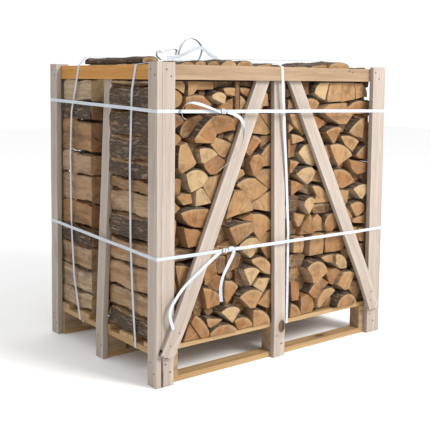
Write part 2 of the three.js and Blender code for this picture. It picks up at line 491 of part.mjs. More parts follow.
// The outline of one end: the edge between its first two corners bulges into an arc, the bark side
function arcOutline([bulge, ...numbers]) {
  const corners = [];
  for (let i = 0; i < numbers.length; i += 2) corners.push(new THREE.Vector2(numbers[i], numbers[i + 1]));
  if (bulge === 0) return corners;
  const middle = corners.reduce((sum, c) => sum.add(c), new THREE.Vector2()).divideScalar(corners.length);
  const [a, b] = corners;
  const along = b.clone().sub(a);
  const half = along.length() / 2;
  along.normalize();
  const outward = new THREE.Vector2(-along.y, along.x);
  if (corners.length === 2 ? outward.y < 0 : outward.dot(a.clone().sub(middle)) < 0) outward.negate();
  const radius = (half * half + bulge * bulge) / (2 * bulge);
  let sweep = Math.asin(Math.min(1, half / radius));
  if (bulge > half) sweep = Math.PI - sweep;
  const centre = a.clone().add(b).multiplyScalar(0.5).addScaledVector(outward, bulge - radius);
  const arc = [];
  for (let i = 1; i < ARC_STEPS; i++) {
    const angle = sweep * ((2 * i) / ARC_STEPS - 1);
    arc.push(centre.clone()
      .addScaledVector(along, radius * Math.sin(angle))
      .addScaledVector(outward, radius * Math.cos(angle)));
  }
  return [a, ...arc, ...corners.slice(1)];
}

const boundsOf = (outline) => new THREE.Box2().setFromPoints(outline);

// Leaves out the corners that change an outline least, down to four or until one changes it enough
function plainer(outline, leastChange) {
  const corners = [...outline];
  while (corners.length > 4) {
    const changes = corners.map((c, i) => {
      const triangle = [corners.at(i - 1), c, corners[(i + 1) % corners.length]];
      return Math.abs(THREE.ShapeUtils.area(triangle));
    });
    const least = Math.min(...changes);
    if (least > leastChange) break;
    corners.splice(changes.indexOf(least), 1);
  }
  return corners;
}

// The same outline with every edge moved out, and held inside the frame
const TOP_COURSE_LIMIT = HEIGHT + 30;
function grown(outline) {
  const turn = Math.sign(THREE.ShapeUtils.area(outline));
  const top = boundsOf(outline).max.y > RAIL_BOTTOM;
  const side = (top ? 2 : 1) * BOARD_THICK + 2 * GAP;
  const highest = top ? TOP_COURSE_LIMIT : RAIL_BOTTOM - GAP;
  return outline.map((corner, i) => {
    const before = corner.clone().sub(outline.at(i - 1)).normalize();
    const after = outline[(i + 1) % outline.length].clone().sub(corner).normalize();
    const normal = new THREE.Vector2(before.y + after.y, -before.x - after.x).multiplyScalar(turn);
    // A corner moves further than its edges do, but never past 1.6 times as far
    const reach = Math.min(1.6, 2 / Math.max(normal.length(), 0.1));
    const kept = top ? corner.y > FREE_TOP : Math.min(corner.x, LENGTH - corner.x) < OUTER_STRIP;
    const moved = corner.clone().addScaledVector(normal.normalize(), kept ? 0 : GROWTH * reach);
    return new THREE.Vector2(
      THREE.MathUtils.clamp(moved.x, side, LENGTH - side),
      THREE.MathUtils.clamp(moved.y, DECK_TOP + GAP, highest),
    );
  });
}

// How far a point of the face is from an outline, negative inside it
function distanceTo(outline, x, z) {
  let best = Infinity;
  let inside = false;
  for (let i = 0; i < outline.length; i++) {
    const a = outline[i];
    const b = outline[(i + 1) % outline.length];
    const dx = b.x - a.x;
    const dz = b.y - a.y;
    const t = THREE.MathUtils.clamp(((x - a.x) * dx + (z - a.y) * dz) / (dx * dx + dz * dz), 0, 1);
    best = Math.min(best, Math.hypot(a.x + t * dx - x, a.y + t * dz - z));
    if (a.y > z !== b.y > z && x < a.x + ((z - a.y) * dx) / dz) inside = !inside;
  }
  return inside ? -best : best;
}

// Smaller billets that lie deeper, wherever the drawn ends leave room for one
const FILLER_GRID = 10;
const FILLER_SPAN = { x: [46, 1154], z: [158, 1112] };
const FILLER_SMALLEST = 25;
const FILLER_LARGEST = 42;
const FILLER_RECESS = 22;
const FILLER_SIDES = 5;
// Its corners reach past the clear round that it fills, into its neighbours
const FILLER_REACH = 1.25;
function fillers(outlines) {
  const boxes = outlines.map(boundsOf);
  const places = [];
  for (let z = FILLER_SPAN.z[0]; z < FILLER_SPAN.z[1]; z += FILLER_GRID) {
    for (let x = FILLER_SPAN.x[0]; x < FILLER_SPAN.x[1]; x += FILLER_GRID) {
      const point = new THREE.Vector2(x, z);
      let room = FILLER_LARGEST;
      for (let i = 0; i < outlines.length && room > FILLER_SMALLEST; i++) {
        if (boxes[i].distanceToPoint(point) < room) room = Math.min(room, distanceTo(outlines[i], x, z));
      }
      if (room > FILLER_SMALLEST) places.push({ x, z, room });
    }
  }
  places.sort((a, b) => b.room - a.room || a.x - b.x || a.z - b.z);
  const taken = [];
  for (const place of places) {
    const clear = taken.every((t) => Math.hypot(t.x - place.x, t.z - place.z) > t.room + place.room * 0.8);
    if (clear) taken.push(place);
  }
  return taken.map(({ x, z, room }, k) => {
    const outline = [];
    for (let i = 0; i < FILLER_SIDES; i++) {
      const angle = (k * 1.7 + i) * ((2 * Math.PI) / FILLER_SIDES);
      const [dx, dz] = [Math.cos(angle) * room * FILLER_REACH, Math.sin(angle) * room * FILLER_REACH];
      outline.push(new THREE.Vector2(x + dx, z + dz));
    }
    return [FILLER_RECESS, outline];
  });
}

function asSolid(geometry) {
  const bare = geometry.clone();
  bare.deleteAttribute("normal");
  bare.deleteAttribute("uv");
  const merged = mergeVertices(bare, 1e-4);
  return new wasm.Manifold(new wasm.Mesh({
    numProp: 3,
    vertProperties: merged.getAttribute("position").array,
    triVerts: new Uint32Array(merged.index.array),
  }));
}

function asGeometry(solid) {
  const mesh = solid.getMesh();
  const geometry = new THREE.BufferGeometry();
  geometry.setAttribute("position", new THREE.BufferAttribute(mesh.vertProperties, 3));
  geometry.setIndex(new THREE.BufferAttribute(mesh.triVerts, 1));
  return geometry;
}

// Carries one end's outline back to the inner end of its row
function billet(recess, outline, depth, band) {
  const box = boundsOf(outline);
  const centre = (box.min.y + box.max.y) / 2;
  const face = FACE_START + (centre - DECK_TOP) * FACE_LEAN + recess;
  const start = Math.max(face, clearOfFrame(box.min.x, box.max.x, box.min.y, box.max.y, band));
  return asSolid(alongY(outline.map((p) => [p.x, p.y]), start, depth));
}

// The ends of some lists as [recess, outline], without those whose area is less than the least one
function drawnEnds(least, ...lists) {
  const ends = lists.flat().map(([out, ...rest]) => [-out, arcOutline(rest)]);
  return ends.filter(([, outline]) => Math.abs(THREE.ShapeUtils.area(outline)) > least);
}

const fitted = (ends, leastChange) =>
  ends.map(([recess, outline]) => [recess, grown(plainer(outline, leastChange))]);

const joined = (ends, depth, band) =>
  wasm.Manifold.union(ends.map(([recess, outline]) => billet(recess, outline, depth, band)));

// The front row, end by end as it is seen; the billets are joined where they touch
const outerEnds = drawnEnds(LEAST_END, NEAR_COLUMN, TOP_COURSE);
const innerEnds = drawnEnds(LEAST_END, FACE, BEHIND_POST);
const betweenThem = fillers([...outerEnds, ...innerEnds].map(([, outline]) => outline));
const frontRow = joined(
  [...fitted(outerEnds, LEAST_OUTER_CHANGE), ...fitted([...innerEnds, ...betweenThem], LEAST_CHANGE)],
  FRONT_ROW_DEPTH, BAND_ON_FRONT,
);

// The back row is unseen but for its left column and its tops: its other ends share the space between
// them, each getting more of it the larger it is, and lie as the front row's do, turned round
function sharedSpace(ends, xLimits, zLimits) {
  const seeds = ends.map(([, outline]) => ({
    centre: boundsOf(outline).getCenter(new THREE.Vector2()),
    size: Math.abs(THREE.ShapeUtils.area(outline)) / Math.PI,
  }));
  const [x0, x1] = xLimits;
  const [z0, z1] = zLimits;
  return ends.map(([recess], i) => {
    let cell = [[x0, z0], [x1, z0], [x1, z1], [x0, z1]].map(([x, z]) => new THREE.Vector2(x, z));
    for (let j = 0; j < seeds.length; j++) {
      if (j !== i) cell = nearerPart(cell, seeds[i], seeds[j]);
    }
    return [recess, cell.map((p) => p.multiplyScalar(100).round().divideScalar(100))];
  });
}

// The part of a convex cell that belongs to one seed rather than to another
function nearerPart(cell, own, other) {
  const excess = (p) =>
    p.distanceToSquared(own.centre) - own.size - (p.distanceToSquared(other.centre) - other.size);
  const kept = [];
  cell.forEach((p, i) => {
    const q = cell[(i + 1) % cell.length];
    const [ep, eq] = [excess(p), excess(q)];
    if (ep <= 0) kept.push(p.clone());
    if (ep < 0 !== eq < 0) kept.push(p.clone().lerp(q, ep / (ep - eq)));
  });
  return kept;
}

const largerEnds = drawnEnds(LEAST_BACK_END, NEAR_COLUMN, FACE, BEHIND_POST);
const backShares = sharedSpace(largerEnds, [28, FAR_COLUMN_START], [DECK_TOP + GAP, RAIL_BOTTOM - GAP]);
const backRow = joined(
  [
    ...backShares.filter(([, outline]) => outline.length > 2),
    ...fitted(drawnEnds(LEAST_END, TOP_COURSE, FAR_COLUMN), LEAST_OUTER_CHANGE),
  ],
  BACK_ROW_DEPTH, BAND_ON_BACK,
);

// The joined row, without the crumbs that rounding leaves beside it
function rowGeometry(solid) {
  const bodies = solid.decompose().sort((a, b) => b.volume() - a.volume());
  return asGeometry(bodies[0]);
}
add(sideGroups.front, "log_row_front", rowGeometry(frontRow), OAK, 0.9);
add(sideGroups.back, "log_row_back", rowGeometry(backRow), OAK, 0.9);

// One billet with its bark on lies across the tops along the left side
const barkLog = [[56, 1181], [56, 1199], [76, 1210], [114, 1209], [134, 1198], [134, 1181]];
add(crate, "top_bark_log", alongY(barkLog, 190, 642), BARK, 0.95);

// Straight piece of the line through a list of [height, value] pairs
function valueAt(pairs, z) {
  for (let i = 1; i < pairs.length; i++) {
    const [z0, v0] = pairs[i - 1];
    const [z1, v1] = pairs[i];
    if (z <= Math.max(z0, z1) && z >= Math.min(z0, z1)) return v0 + ((z - z0) / (z1 - z0)) * (v1 - v0);
  }
  return z > pairs[0][0] ? pairs[0][1] : pairs[pairs.length - 1][1];
}

// Level bands: a closed loop round the corner planks, out over the diagonals where they stand proud,
// and tilted as they were pulled tight
const PROUD_STRETCH = [180, 1020];
// The lowest that such a band lies below its height at the corner, where it crosses a diagonal
const CROSSING_DROP = 20;
function levelLoop(reach, proud) {
  const [x, y] = [LENGTH + reach, WIDTH + reach];
  const [from, to] = PROUD_STRETCH;
  return [
    [-reach, -reach], [from, -proud], [to, -proud], [x, -reach],
    [x, y], [to, WIDTH + proud], [from, WIDTH + proud], [-reach, y],
  ];
}
for (const [name, band] of Object.entries(LEVEL_BANDS)) {
  const diagonalFront = DIAGONAL_THICK - diagonalBack(band.height - CROSSING_DROP) + GAP;
  const proud = Math.max(GAP, diagonalFront);
  const inner = levelLoop(GAP, proud);
  const outer = levelLoop(GAP + BAND_THICK, proud + BAND_THICK);
  const geometry = extruded(outer, BAND_WIDTH, inner);
  const lift = band.height - BAND_WIDTH / 2;
  slide(geometry, still, still, (p) => lift + (p.x / LENGTH) * band.alongX + (p.y / WIDTH) * band.alongY);
  add(crate, `band_level_${name}`, geometry, WHITE_BAND, 0.45);
}

// Upright bands: [height, place along the side] from the rail down
const LOOP_SIDE = BOARD_THICK - GAP;
// Where the tight band changes its lean it stands out this much
const BAND_BOW = 0.2;
const UPRIGHT_FRONT = [[1176, 608], [845, 632], [507, 655], [124, 655]];
const UPRIGHT_NEAR = [[1176, 177], [1080, 205], [795, 219], [501, 213], [325, 201], [101, 177]];
const UPRIGHT_FAR = [[1176, 622], [985, 689], [796, 702], [515, 696], [283, 674], [101, 620]];

// A loop over the tops and under the pallet; `over` lists the points from the near rail to the far one
function uprightLoop(path, span, bottom, over, thick) {
  const heights = path.map(([z]) => z).slice(1, -1);
  return [
    [LOOP_SIDE - thick, bottom - thick],
    ...heights.toReversed().map((z) => [LOOP_SIDE - BAND_BOW - thick, z]),
    ...over.map(([x, z]) => [x, z + thick]),
    ...heights.map((z) => [span - LOOP_SIDE + BAND_BOW + thick, z]),
    [span - LOOP_SIDE + thick, bottom - thick],
  ];
}
function loopOver(span, thick, middle) {
  return [[LOOP_SIDE - thick, RAIL_TOP + GAP], ...middle, [span - LOOP_SIDE + thick, RAIL_TOP + GAP]];
}
// The loop is made stretch by stretch, so that each one can lean by itself
function uprightBand(name, path, span, bottom, middle, extrude, slideBy) {
  const inner = uprightLoop(path, span, bottom, loopOver(span, 0, middle), 0);
  const outer = uprightLoop(path, span, bottom, loopOver(span, BAND_THICK, middle), BAND_THICK);
  const stretches = inner.map((corner, i) => {
    const next = (i + 1) % inner.length;
    const geometry = extrude([corner, inner[next], outer[next], outer[i]], -BAND_WIDTH / 2, BAND_WIDTH / 2);
    return asSolid(slideBy(geometry, (p) => valueAt(path, p.z)));
  });
  add(crate, name, asGeometry(wasm.Manifold.union(stretches)), WHITE_BAND, 0.45);
}
// What each one passes over, from the near rail to the far one: the highest of the tops and the bark log
const OVER_FRONT = [[58, 1190], [788, 1190]];
const OVER_NEAR = [[58, 1181], [178, 1195], [373, 1204], [977, 1209], [1152, 1184]];
const OVER_FAR = [[54, 1212], [136, 1212], [742, 1205], [827, 1203], [1022, 1195], [1152, 1181]];
uprightBand("band_upright_front", UPRIGHT_FRONT, WIDTH, STRINGER_TOP, OVER_FRONT, alongX,
  (geometry, place) => slide(geometry, place, still, still));
uprightBand("band_upright_near", UPRIGHT_NEAR, LENGTH, BLOCK_TOP, OVER_NEAR, alongY,
  (geometry, place) => slide(geometry, still, place, still));
uprightBand("band_upright_far", UPRIGHT_FAR, LENGTH, BLOCK_TOP, OVER_FAR, alongY,
  (geometry, place) => slide(geometry, still, place, still));

// Wire buckles where the level bands close, a little tilted: place along the front, back and height
const BUCKLE_LENGTH = 24;
const BUCKLE_HEIGHT = 20;
const BUCKLE_FRONT = -13;
const BUCKLE_TILT = 0.1;
const BUCKLES = {
  upper: [292, -1.7, 1005],
  lower: [303, -7.4, 477],
};
for (const [name, [x, back, z]] of Object.entries(BUCKLES)) {
  const geometry = new THREE.BoxGeometry(BUCKLE_LENGTH, back - BUCKLE_FRONT, BUCKLE_HEIGHT);
  const mesh = add(crate, `buckle_${name}`, geometry, WHITE_BAND, 0.4);
  mesh.position.set(x, (BUCKLE_FRONT + back) / 2, z);
  mesh.rotation.y = BUCKLE_TILT;
}

// Loose ends of band: a flat ribbon along a smooth line of [x, z] points, face on to the front, or edge
// on to it and bowed as the band bends most easily
const RIBBON_STEP = 25;
const LOOSE_ENDS = {
  loose_end_upper: {
    y: -10,
    points: [[309, 1003], [345, 992], [376, 972], [388, 933], [384, 895], [366, 858], [325, 818], [272, 786]],
  },
  loose_bow_upper: {
    y: -10,
    points: [
      [275, 1003], [238, 1015], [190, 1030], [148, 1038], [115, 1032], [99, 1008], [103, 988], [116, 980],
    ],
  },
  loose_end_lower_left: {
    y: -DIAGONAL_THICK - 4,
    overDiagonal: true,
    points: [
      [284, 474], [263, 463], [205, 428], [148, 392], [105, 362], [74, 331], [50, 300], [43, 268], [58, 218],
    ],
  },
  loose_end_lower_right: {
    y: -9.5,
    points: [[321, 482], [340, 482], [345, 462], [317, 415], [296, 380], [285, 345], [284, 312], [288, 281]],
  },
  loose_end_top_loop: {
    y: 212,
    edgeOn: true,
    points: [
      [236, 1204], [240, 1232], [256, 1262], [290, 1284], [327, 1274], [348, 1250], [346, 1224], [334, 1200],
    ],
  },
  loose_end_top_flat: {
    y: 190,
    points: [
      [170, 1204], [210, 1208], [252, 1222], [292, 1240], [326, 1248], [356, 1234], [382, 1216], [410, 1211],
    ],
  },
  loose_end_top_small: {
    y: 225,
    edgeOn: true,
    points: [
      [162, 1198], [145, 1212], [148, 1230], [170, 1226], [190, 1232], [215, 1240], [236, 1236], [232, 1218],
    ],
  },
};
for (const [name, { points, y, edgeOn, overDiagonal }] of Object.entries(LOOSE_ENDS)) {
  const curve = new THREE.SplineCurve(points.map(([x, z]) => new THREE.Vector2(x, z)));
  const steps = Math.max(6, Math.round(curve.getLength() / RIBBON_STEP));
  const half = (edgeOn ? BAND_THICK : BAND_WIDTH) / 2;
  const depth = edgeOn ? BAND_WIDTH : BAND_THICK;
  const sides = [[], []];
  for (let i = 0; i <= steps; i++) {
    const p = curve.getPointAt(i / steps);
    const t = curve.getTangentAt(i / steps);
    sides[0].push([p.x - t.y * half, p.y + t.x * half]);
    sides[1].unshift([p.x + t.y * half, p.y - t.x * half]);
  }
  const geometry = alongY([...sides[0], ...sides[1]], y - depth / 2, y + depth / 2);
  if (overDiagonal) slide(geometry, still, (p) => diagonalBack(p.z), still);
  add(crate, name, geometry, WHITE_BAND, 0.45);
}

export default crate;
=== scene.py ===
import math
import random

import bpy
import bmesh
from mathutils import Matrix, Vector, noise


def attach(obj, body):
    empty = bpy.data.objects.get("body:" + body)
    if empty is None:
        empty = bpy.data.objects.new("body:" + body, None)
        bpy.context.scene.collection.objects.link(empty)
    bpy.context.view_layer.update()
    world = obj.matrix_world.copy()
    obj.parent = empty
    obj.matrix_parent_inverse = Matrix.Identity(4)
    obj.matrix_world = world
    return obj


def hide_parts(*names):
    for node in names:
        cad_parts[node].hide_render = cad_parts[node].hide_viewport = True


# A pallet of split oak firewood, as it stands in a firewood merchant's yard: a softwood pallet, an open
# frame of nailed boards, two rows of billets and woven white straps round it all. Metres, X along the
# long face, Y from the front to the back, Z up, the origin on the floor under the middle.
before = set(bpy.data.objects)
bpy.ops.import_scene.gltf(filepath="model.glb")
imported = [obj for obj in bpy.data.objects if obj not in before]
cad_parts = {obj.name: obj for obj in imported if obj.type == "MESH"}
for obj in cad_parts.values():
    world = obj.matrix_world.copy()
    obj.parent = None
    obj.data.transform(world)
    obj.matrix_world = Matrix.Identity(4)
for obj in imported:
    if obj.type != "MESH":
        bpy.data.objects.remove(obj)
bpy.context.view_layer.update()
random.seed(11)


# The floor, the light and the camera
# The crate stands on a plain white floor in soft light that comes from the front right and above, and
# is seen from a little under its own height, past its front left corner.
def aimed(position, yaw, pitch, roll):
    """A camera's place and turn: yaw from +Y towards +X, pitch downwards, roll to the right."""
    ahead = Vector((math.sin(yaw) * math.cos(pitch), math.cos(yaw) * math.cos(pitch), -math.sin(pitch)))
    right = Vector((math.cos(yaw), -math.sin(yaw), 0.0))
    up = right.cross(ahead)
    side = right * math.cos(roll) + up * math.sin(roll)
    above = up * math.cos(roll) - right * math.sin(roll)
    turn = Matrix((side, above, -ahead)).transposed()
    return Matrix.Translation(position) @ turn.to_4x4()


eye = bpy.data.objects.new("camera", bpy.data.cameras.new("camera"))
bpy.context.scene.collection.objects.link(eye)
eye.data.sensor_width = 36.0
eye.data.lens = 66.98
eye.data.shift_y = -0.15
eye.data.clip_end = 60.0
eye.matrix_world = aimed(Vector((-2.150, -2.783, 1.118)), math.radians(37.45), math.radians(4.97),
                         math.radians(0.56))
bpy.context.scene.camera = eye
bpy.context.scene.view_settings.view_transform = "Standard"


def soft_light(name, position, target, size, power, colour):
    lamp = bpy.data.lights.new(name, "AREA")
    lamp.shape = "DISK"
    lamp.size = size
    lamp.energy = power
    lamp.color = colour
    holder = bpy.data.objects.new(name, lamp)
    bpy.context.scene.collection.objects.link(holder)
    direction = Vector(target) - Vector(position)
    turn = direction.to_track_quat("-Z", "Y").to_matrix().to_4x4()
    holder.matrix_world = Matrix.Translation(position) @ turn


soft_light("key light", (1.6, -4.4, 3.6), (0.0, 0.0, 0.5), 2.2, 330.0, (1.0, 0.985, 0.965))
soft_light("fill light", (-4.2, -2.2, 2.6), (0.0, 0.0, 0.6), 3.0, 12.0, (0.96, 0.98, 1.0))

sky = bpy.data.worlds.new("studio")
bpy.context.scene.world = sky
sky.use_nodes = True
sky.node_tree.nodes["Background"].inputs["Color"].default_value = (1.0, 1.0, 1.0, 1.0)
sky.node_tree.nodes["Background"].inputs["Strength"].default_value = 1.02

floor_mesh = bpy.data.meshes.new("floor")
FLOOR_REACH = 14.0
floor_mesh.from_pydata([(-FLOOR_REACH, -FLOOR_REACH, 0), (FLOOR_REACH, -FLOOR_REACH, 0),
                        (FLOOR_REACH, FLOOR_REACH, 0), (-FLOOR_REACH, FLOOR_REACH, 0)], [], [(0, 1, 2, 3)])
floor = bpy.data.objects.new("floor", floor_mesh)
bpy.context.scene.collection.objects.link(floor)
floor_paint = bpy.data.materials.new("floor paint")
floor_paint.use_nodes = True
floor_paint.node_tree.nodes["Principled BSDF"].inputs["Base Color"].default_value = (0.93, 0.93, 0.93, 1.0)
floor_paint.node_tree.nodes["Principled BSDF"].inputs["Roughness"].default_value = 0.7
floor_mesh.materials.append(floor_paint)


# The loose ends of the straps
# White woven polyester band, 13 mm wide and about 1 mm thick. Each strap is pulled tight and its ends
# are left uncut, so that they stand out in stiff bows and hang down the front, or curl over the tops.
class Wire:
    """The output of a shader node; sums, products and the like of wires add their Math nodes."""

    def __init__(self, finish, socket):
        self.finish = finish
        self.socket = socket

    def math(self, operation, *others):
        values = {0: self}
        values.update({i + 1: other for i, other in enumerate(others)})
        return self.finish.node("ShaderNodeMath", {"operation": operation}, values)

    def __add__(self, other):
        return self.math("ADD", other)

    def __sub__(self, other):
        return self.math("SUBTRACT", other)

    def __mul__(self, other):
        return self.math("MULTIPLY", other)

    def __truediv__(self, other):
        return self.math("DIVIDE", other)

    def __pow__(self, other):
        return self.math("POWER", other)

    def __rsub__(self, other):
        return (self * -1.0) + other

    __radd__ = __add__
    __rmul__ = __mul__


class Finish:
    """A material in the making, with its Principled shader as `coat`."""

    def __init__(self, name):
        self.material = bpy.data.materials.new(name)
        self.material.use_nodes = True
        self.tree = self.material.node_tree
        self.coat = self.tree.nodes["Principled BSDF"]

    def put(self, socket, value):
        if isinstance(value, Wire):
            self.tree.links.new(value.socket, socket)
        else:
            socket.default_value = value

    def node(self, kind, settings=None, values=None, output=0):
        made = self.tree.nodes.new(kind)
        for key, setting in (settings or {}).items():
            if key == "stops":
                ramp = made.color_ramp
                while len(ramp.elements) < len(setting):
                    ramp.elements.new(0.5)
                for stop, (place, colour) in zip(ramp.elements, setting):
                    stop.position = place
                    stop.color = (*colour, 1.0)
            else:
                setattr(made, key, setting)
        for key, value in (values or {}).items():
            self.put(made.inputs[key], value)
        return Wire(self, made.outputs[output])

    def read(self, name, output="Vector"):
        """An attribute of the piece; a single number comes out of "Fac"."""
        return self.node("ShaderNodeAttribute", {"attribute_name": name}, {}, output)

    def split(self, vector):
        parts = self.node("ShaderNodeSeparateXYZ", {}, {"Vector": vector}).socket.node
        return [Wire(self, part) for part in parts.outputs]

    def scaled(self, vector, x, y, z):
        return self.node("ShaderNodeVectorMath", {"operation": "MULTIPLY"}, {0: vector, 1: (x, y, z)})

    def shifted(self, vector, other):
        return self.node("ShaderNodeVectorMath", {"operation": "ADD"}, {0: vector, 1: other})

    def clouds(self, vector, scale, detail=3.0, roughness=0.55, distortion=0.0):
        return self.node("ShaderNodeTexNoise", {}, {"Vector": vector, "Scale": scale, "Detail": detail,
                                                    "Roughness": roughness, "Distortion": distortion}, 0)

    def between(self, value, low, high, out_low=0.0, out_high=1.0):
        """`value` carried from low..high to out_low..out_high and held there, with soft ends."""
        return self.node("ShaderNodeMapRange", {"interpolation_type": "SMOOTHSTEP"},
                         {"Value": value, "From Min": low, "From Max": high,
                          "To Min": out_low, "To Max": out_high})

    def blended(self, share, first, second, mode="MIX"):
        """Two colours mixed by a share from 0 to 1."""
        made = self.tree.nodes.new("ShaderNodeMix")
        made.data_type = "RGBA"
        made.blend_type = mode
        made.clamp_factor = True
        for socket, value in ((made.inputs[0], share), (made.inputs[6], first), (made.inputs[7], second)):
            if isinstance(value, tuple) and len(value) == 3:
                value = (*value, 1.0)
            self.put(socket, value)
        return Wire(self, made.outputs[2])

    def done(self, colour, roughness, height=None, depth=0.001, strength=1.0):
        self.put(self.coat.inputs["Base Color"], colour)
        self.put(self.coat.inputs["Roughness"], roughness)
        if height is not None:
            bump = self.node("ShaderNodeBump", {},
                             {"Height": height, "Distance": depth, "Strength": strength})
            self.put(self.coat.inputs["Normal"], bump)
        return self.material


def band_finish():
    """White band: fine ribs along it, crossed by the weft, a little grey where it has been handled."""
    f = Finish("woven band")
    f.coat.inputs["Sheen Weight"].default_value = 0.15
    run = f.read("weave")
    along, across, _ = f.split(run)
    ribs = (across * (2 * math.pi / 0.0011)).math("SINE") * 0.5 + 0.5
    weft = (along * (2 * math.pi / 0.0016)).math("SINE") * 0.5 + 0.5
    soil = f.clouds(f.scaled(run, 9.0, 40.0, 1.0), 1.0, 4.0)
    shade = f.blended(f.between(soil, 0.42, 0.75, 0.0, 0.5), (0.50, 0.54, 0.59), (0.38, 0.41, 0.445))
    # Painted shade in the hollows of the weave, between the ribs and the weft
    colour = f.blended((1 - ribs * weft) * 0.22, shade, (0.28, 0.31, 0.35))
    return f.done(colour, f.between(soil, 0.3, 0.8, 0.38, 0.55), ribs * 0.6 + weft * 0.4, 0.0003)


white_band = band_finish()
BAND_WIDTH = 0.013
BAND_THICK = 0.0009
HALF_LENGTH, HALF_WIDTH = 0.600, 0.423


def placed(x, y, z):
    """A point given in millimetres from the crate's front left bottom corner."""
    return Vector((x / 1000 - HALF_LENGTH, y / 1000 - HALF_WIDTH, z / 1000))


def smooth_line(points, steps):
    """Points evenly spaced along the smooth line through the given ones."""
    fine = []
    last = len(points) - 1
    for i in range(last):
        a, b = points[max(i - 1, 0)], points[i]
        c, d = points[i + 1], points[min(i + 2, last)]
        for k in range(12):
            t = k / 12
            fine.append(0.5 * ((2 * b) + (c - a) * t + (2 * a - 5 * b + 4 * c - d) * t * t
                               + (3 * b - a - 3 * c + d) * t ** 3))
    fine.append(points[-1])
    reach = [0.0]
    for p, q in zip(fine, fine[1:]):
        reach.append(reach[-1] + (q - p).length)
    line = []
    k = 0
    for i in range(steps + 1):
        goal = reach[-1] * i / steps
        while k < len(fine) - 2 and reach[k + 1] < goal:
            k += 1
        share = (goal - reach[k]) / max(reach[k + 1] - reach[k], 1e-9)
        line.append(fine[k].lerp(fine[k + 1], min(max(share, 0.0), 1.0)))
    return line, reach[-1]


def band_mesh(name, line, acrosses, closed=False):
    """A flat band along `line`, its width lying along the direction given at each point."""
    count = len(line)
    section = ((-1.0, 0.0), (-0.93, 0.5), (0.93, 0.5), (1.0, 0.0), (0.93, -0.5), (-0.93, -0.5))
    corners, weave = [], []
    run = 0.0
    for i, (p, across) in enumerate(zip(line, acrosses)):
        before = line[i - 1] if i or closed else p
        after = line[(i + 1) % count] if i < count - 1 or closed else p
        tangent = (after - before).normalized()
        side = (across - tangent * across.dot(tangent)).normalized()
        up = tangent.cross(side)
        if i:
            run += (p - line[i - 1]).length
        for u, v in section:
            corners.append(p + side * (u * BAND_WIDTH / 2) + up * (v * BAND_THICK))
            weave.append((run, u * BAND_WIDTH / 2, 0.0))
    n = len(section)
    faces = []
    for i in range(count if closed else count - 1):
        a, b = i * n, ((i + 1) % count) * n
        for k in range(n):
            m = (k + 1) % n
            faces.append((a + k, b + k, b + m, a + m))
    if not closed:
        faces.append(tuple(range(n)))
        faces.append(tuple(reversed(range((count - 1) * n, count * n))))
    mesh = bpy.data.meshes.new(name)
    mesh.from_pydata(corners, [], faces)
    for flat in mesh.polygons:
        flat.use_smooth = False
    record = mesh.attributes.new("weave", "FLOAT_VECTOR", "POINT")
    record.data.foreach_set("vector", [c for w in weave for c in w])
    turned_out(mesh)
    mesh.materials.append(white_band)
    piece = bpy.data.objects.new(name, mesh)
    bpy.context.scene.collection.objects.link(piece)
    return piece


def turned_out(mesh):
    """Turns all faces outwards."""
    work = bmesh.new()
    work.from_mesh(mesh)
    bmesh.ops.recalc_face_normals(work, faces=work.faces)
    work.to_mesh(mesh)
    work.free()


DIAGONAL_THICK = 20.0
DIAGONAL_BEND = 266.0
DIAGONAL_TOP = 1158.0
DIAGONAL_SLOPE = 64.9 / 855.0


def diagonal_back(z):
    """How far in the back of a diagonal board lies at a height, in millimetres."""
    return -0.3 + max(0.0, z - DIAGONAL_BEND) * DIAGONAL_SLOPE


# The points (x, z) that each end follows, its depth, and how far it is turned at each point: 0 shows its
# flat face to the front, 1 its edge to the eye
EYE_WARDS = Vector((0.608, 0.794, 0.0))
INWARDS = Vector((0.0, 1.0, 0.0))
LOOSE_ENDS = {
    "loose_end_upper": (
        [(309, 1003), (345, 992), (376, 972), (388, 933), (384, 895), (366, 858), (325, 818), (272, 786)],
        -10, (0.1, 0.1, 0.3, 0.75, 1.0, 1.0, 1.0, 1.0), EYE_WARDS),
    "loose_bow_upper": (
        [(275, 1003), (238, 1015), (190, 1030), (148, 1038), (115, 1032), (99, 1008), (103, 988), (116, 980)],
        -10, (0.5, 0.6, 0.45, 0.35, 0.6, 0.95, 1.0, 1.0), EYE_WARDS),
    "loose_end_lower_left": (
        [(284, 474), (263, 463), (205, 428), (148, 392), (105, 362), (74, 331), (50, 300), (43, 268),
         (58, 218)],
        -24, (0.15, 0.2, 0.1, 0.05, 0.0, 0.0, 0.0, 0.0, 0.0), EYE_WARDS),
    "loose_end_lower_right": (
        [(321, 482), (340, 482), (345, 462), (317, 415), (296, 380), (285, 345), (284, 312), (288, 281)],
        -9.5, (0.1, 0.3, 0.4, 0.2, 0.0, 0.15, 0.3, 0.35), EYE_WARDS),
    "loose_end_top_loop": (
        [(236, 1204), (240, 1232), (256, 1262), (290, 1283.3), (327, 1274), (348, 1250), (346, 1224),
         (334, 1200)],
        212, (1.0,) * 8, INWARDS),
    "loose_end_top_flat": (
        [(170, 1204), (210, 1208), (252, 1222), (292, 1240), (326, 1248), (356, 1234), (382, 1216),
         (410, 1211)],
        190, (0.0, 0.1, 0.2, 0.1, 0.0, 0.1, 0.2, 0.1), INWARDS),
    "loose_end_top_small": (
        [(162, 1198), (145, 1212), (148, 1230), (170, 1226), (190, 1232), (215, 1240), (236, 1236),
         (232, 1218)],
        225, (1.0,) * 8, INWARDS),
}
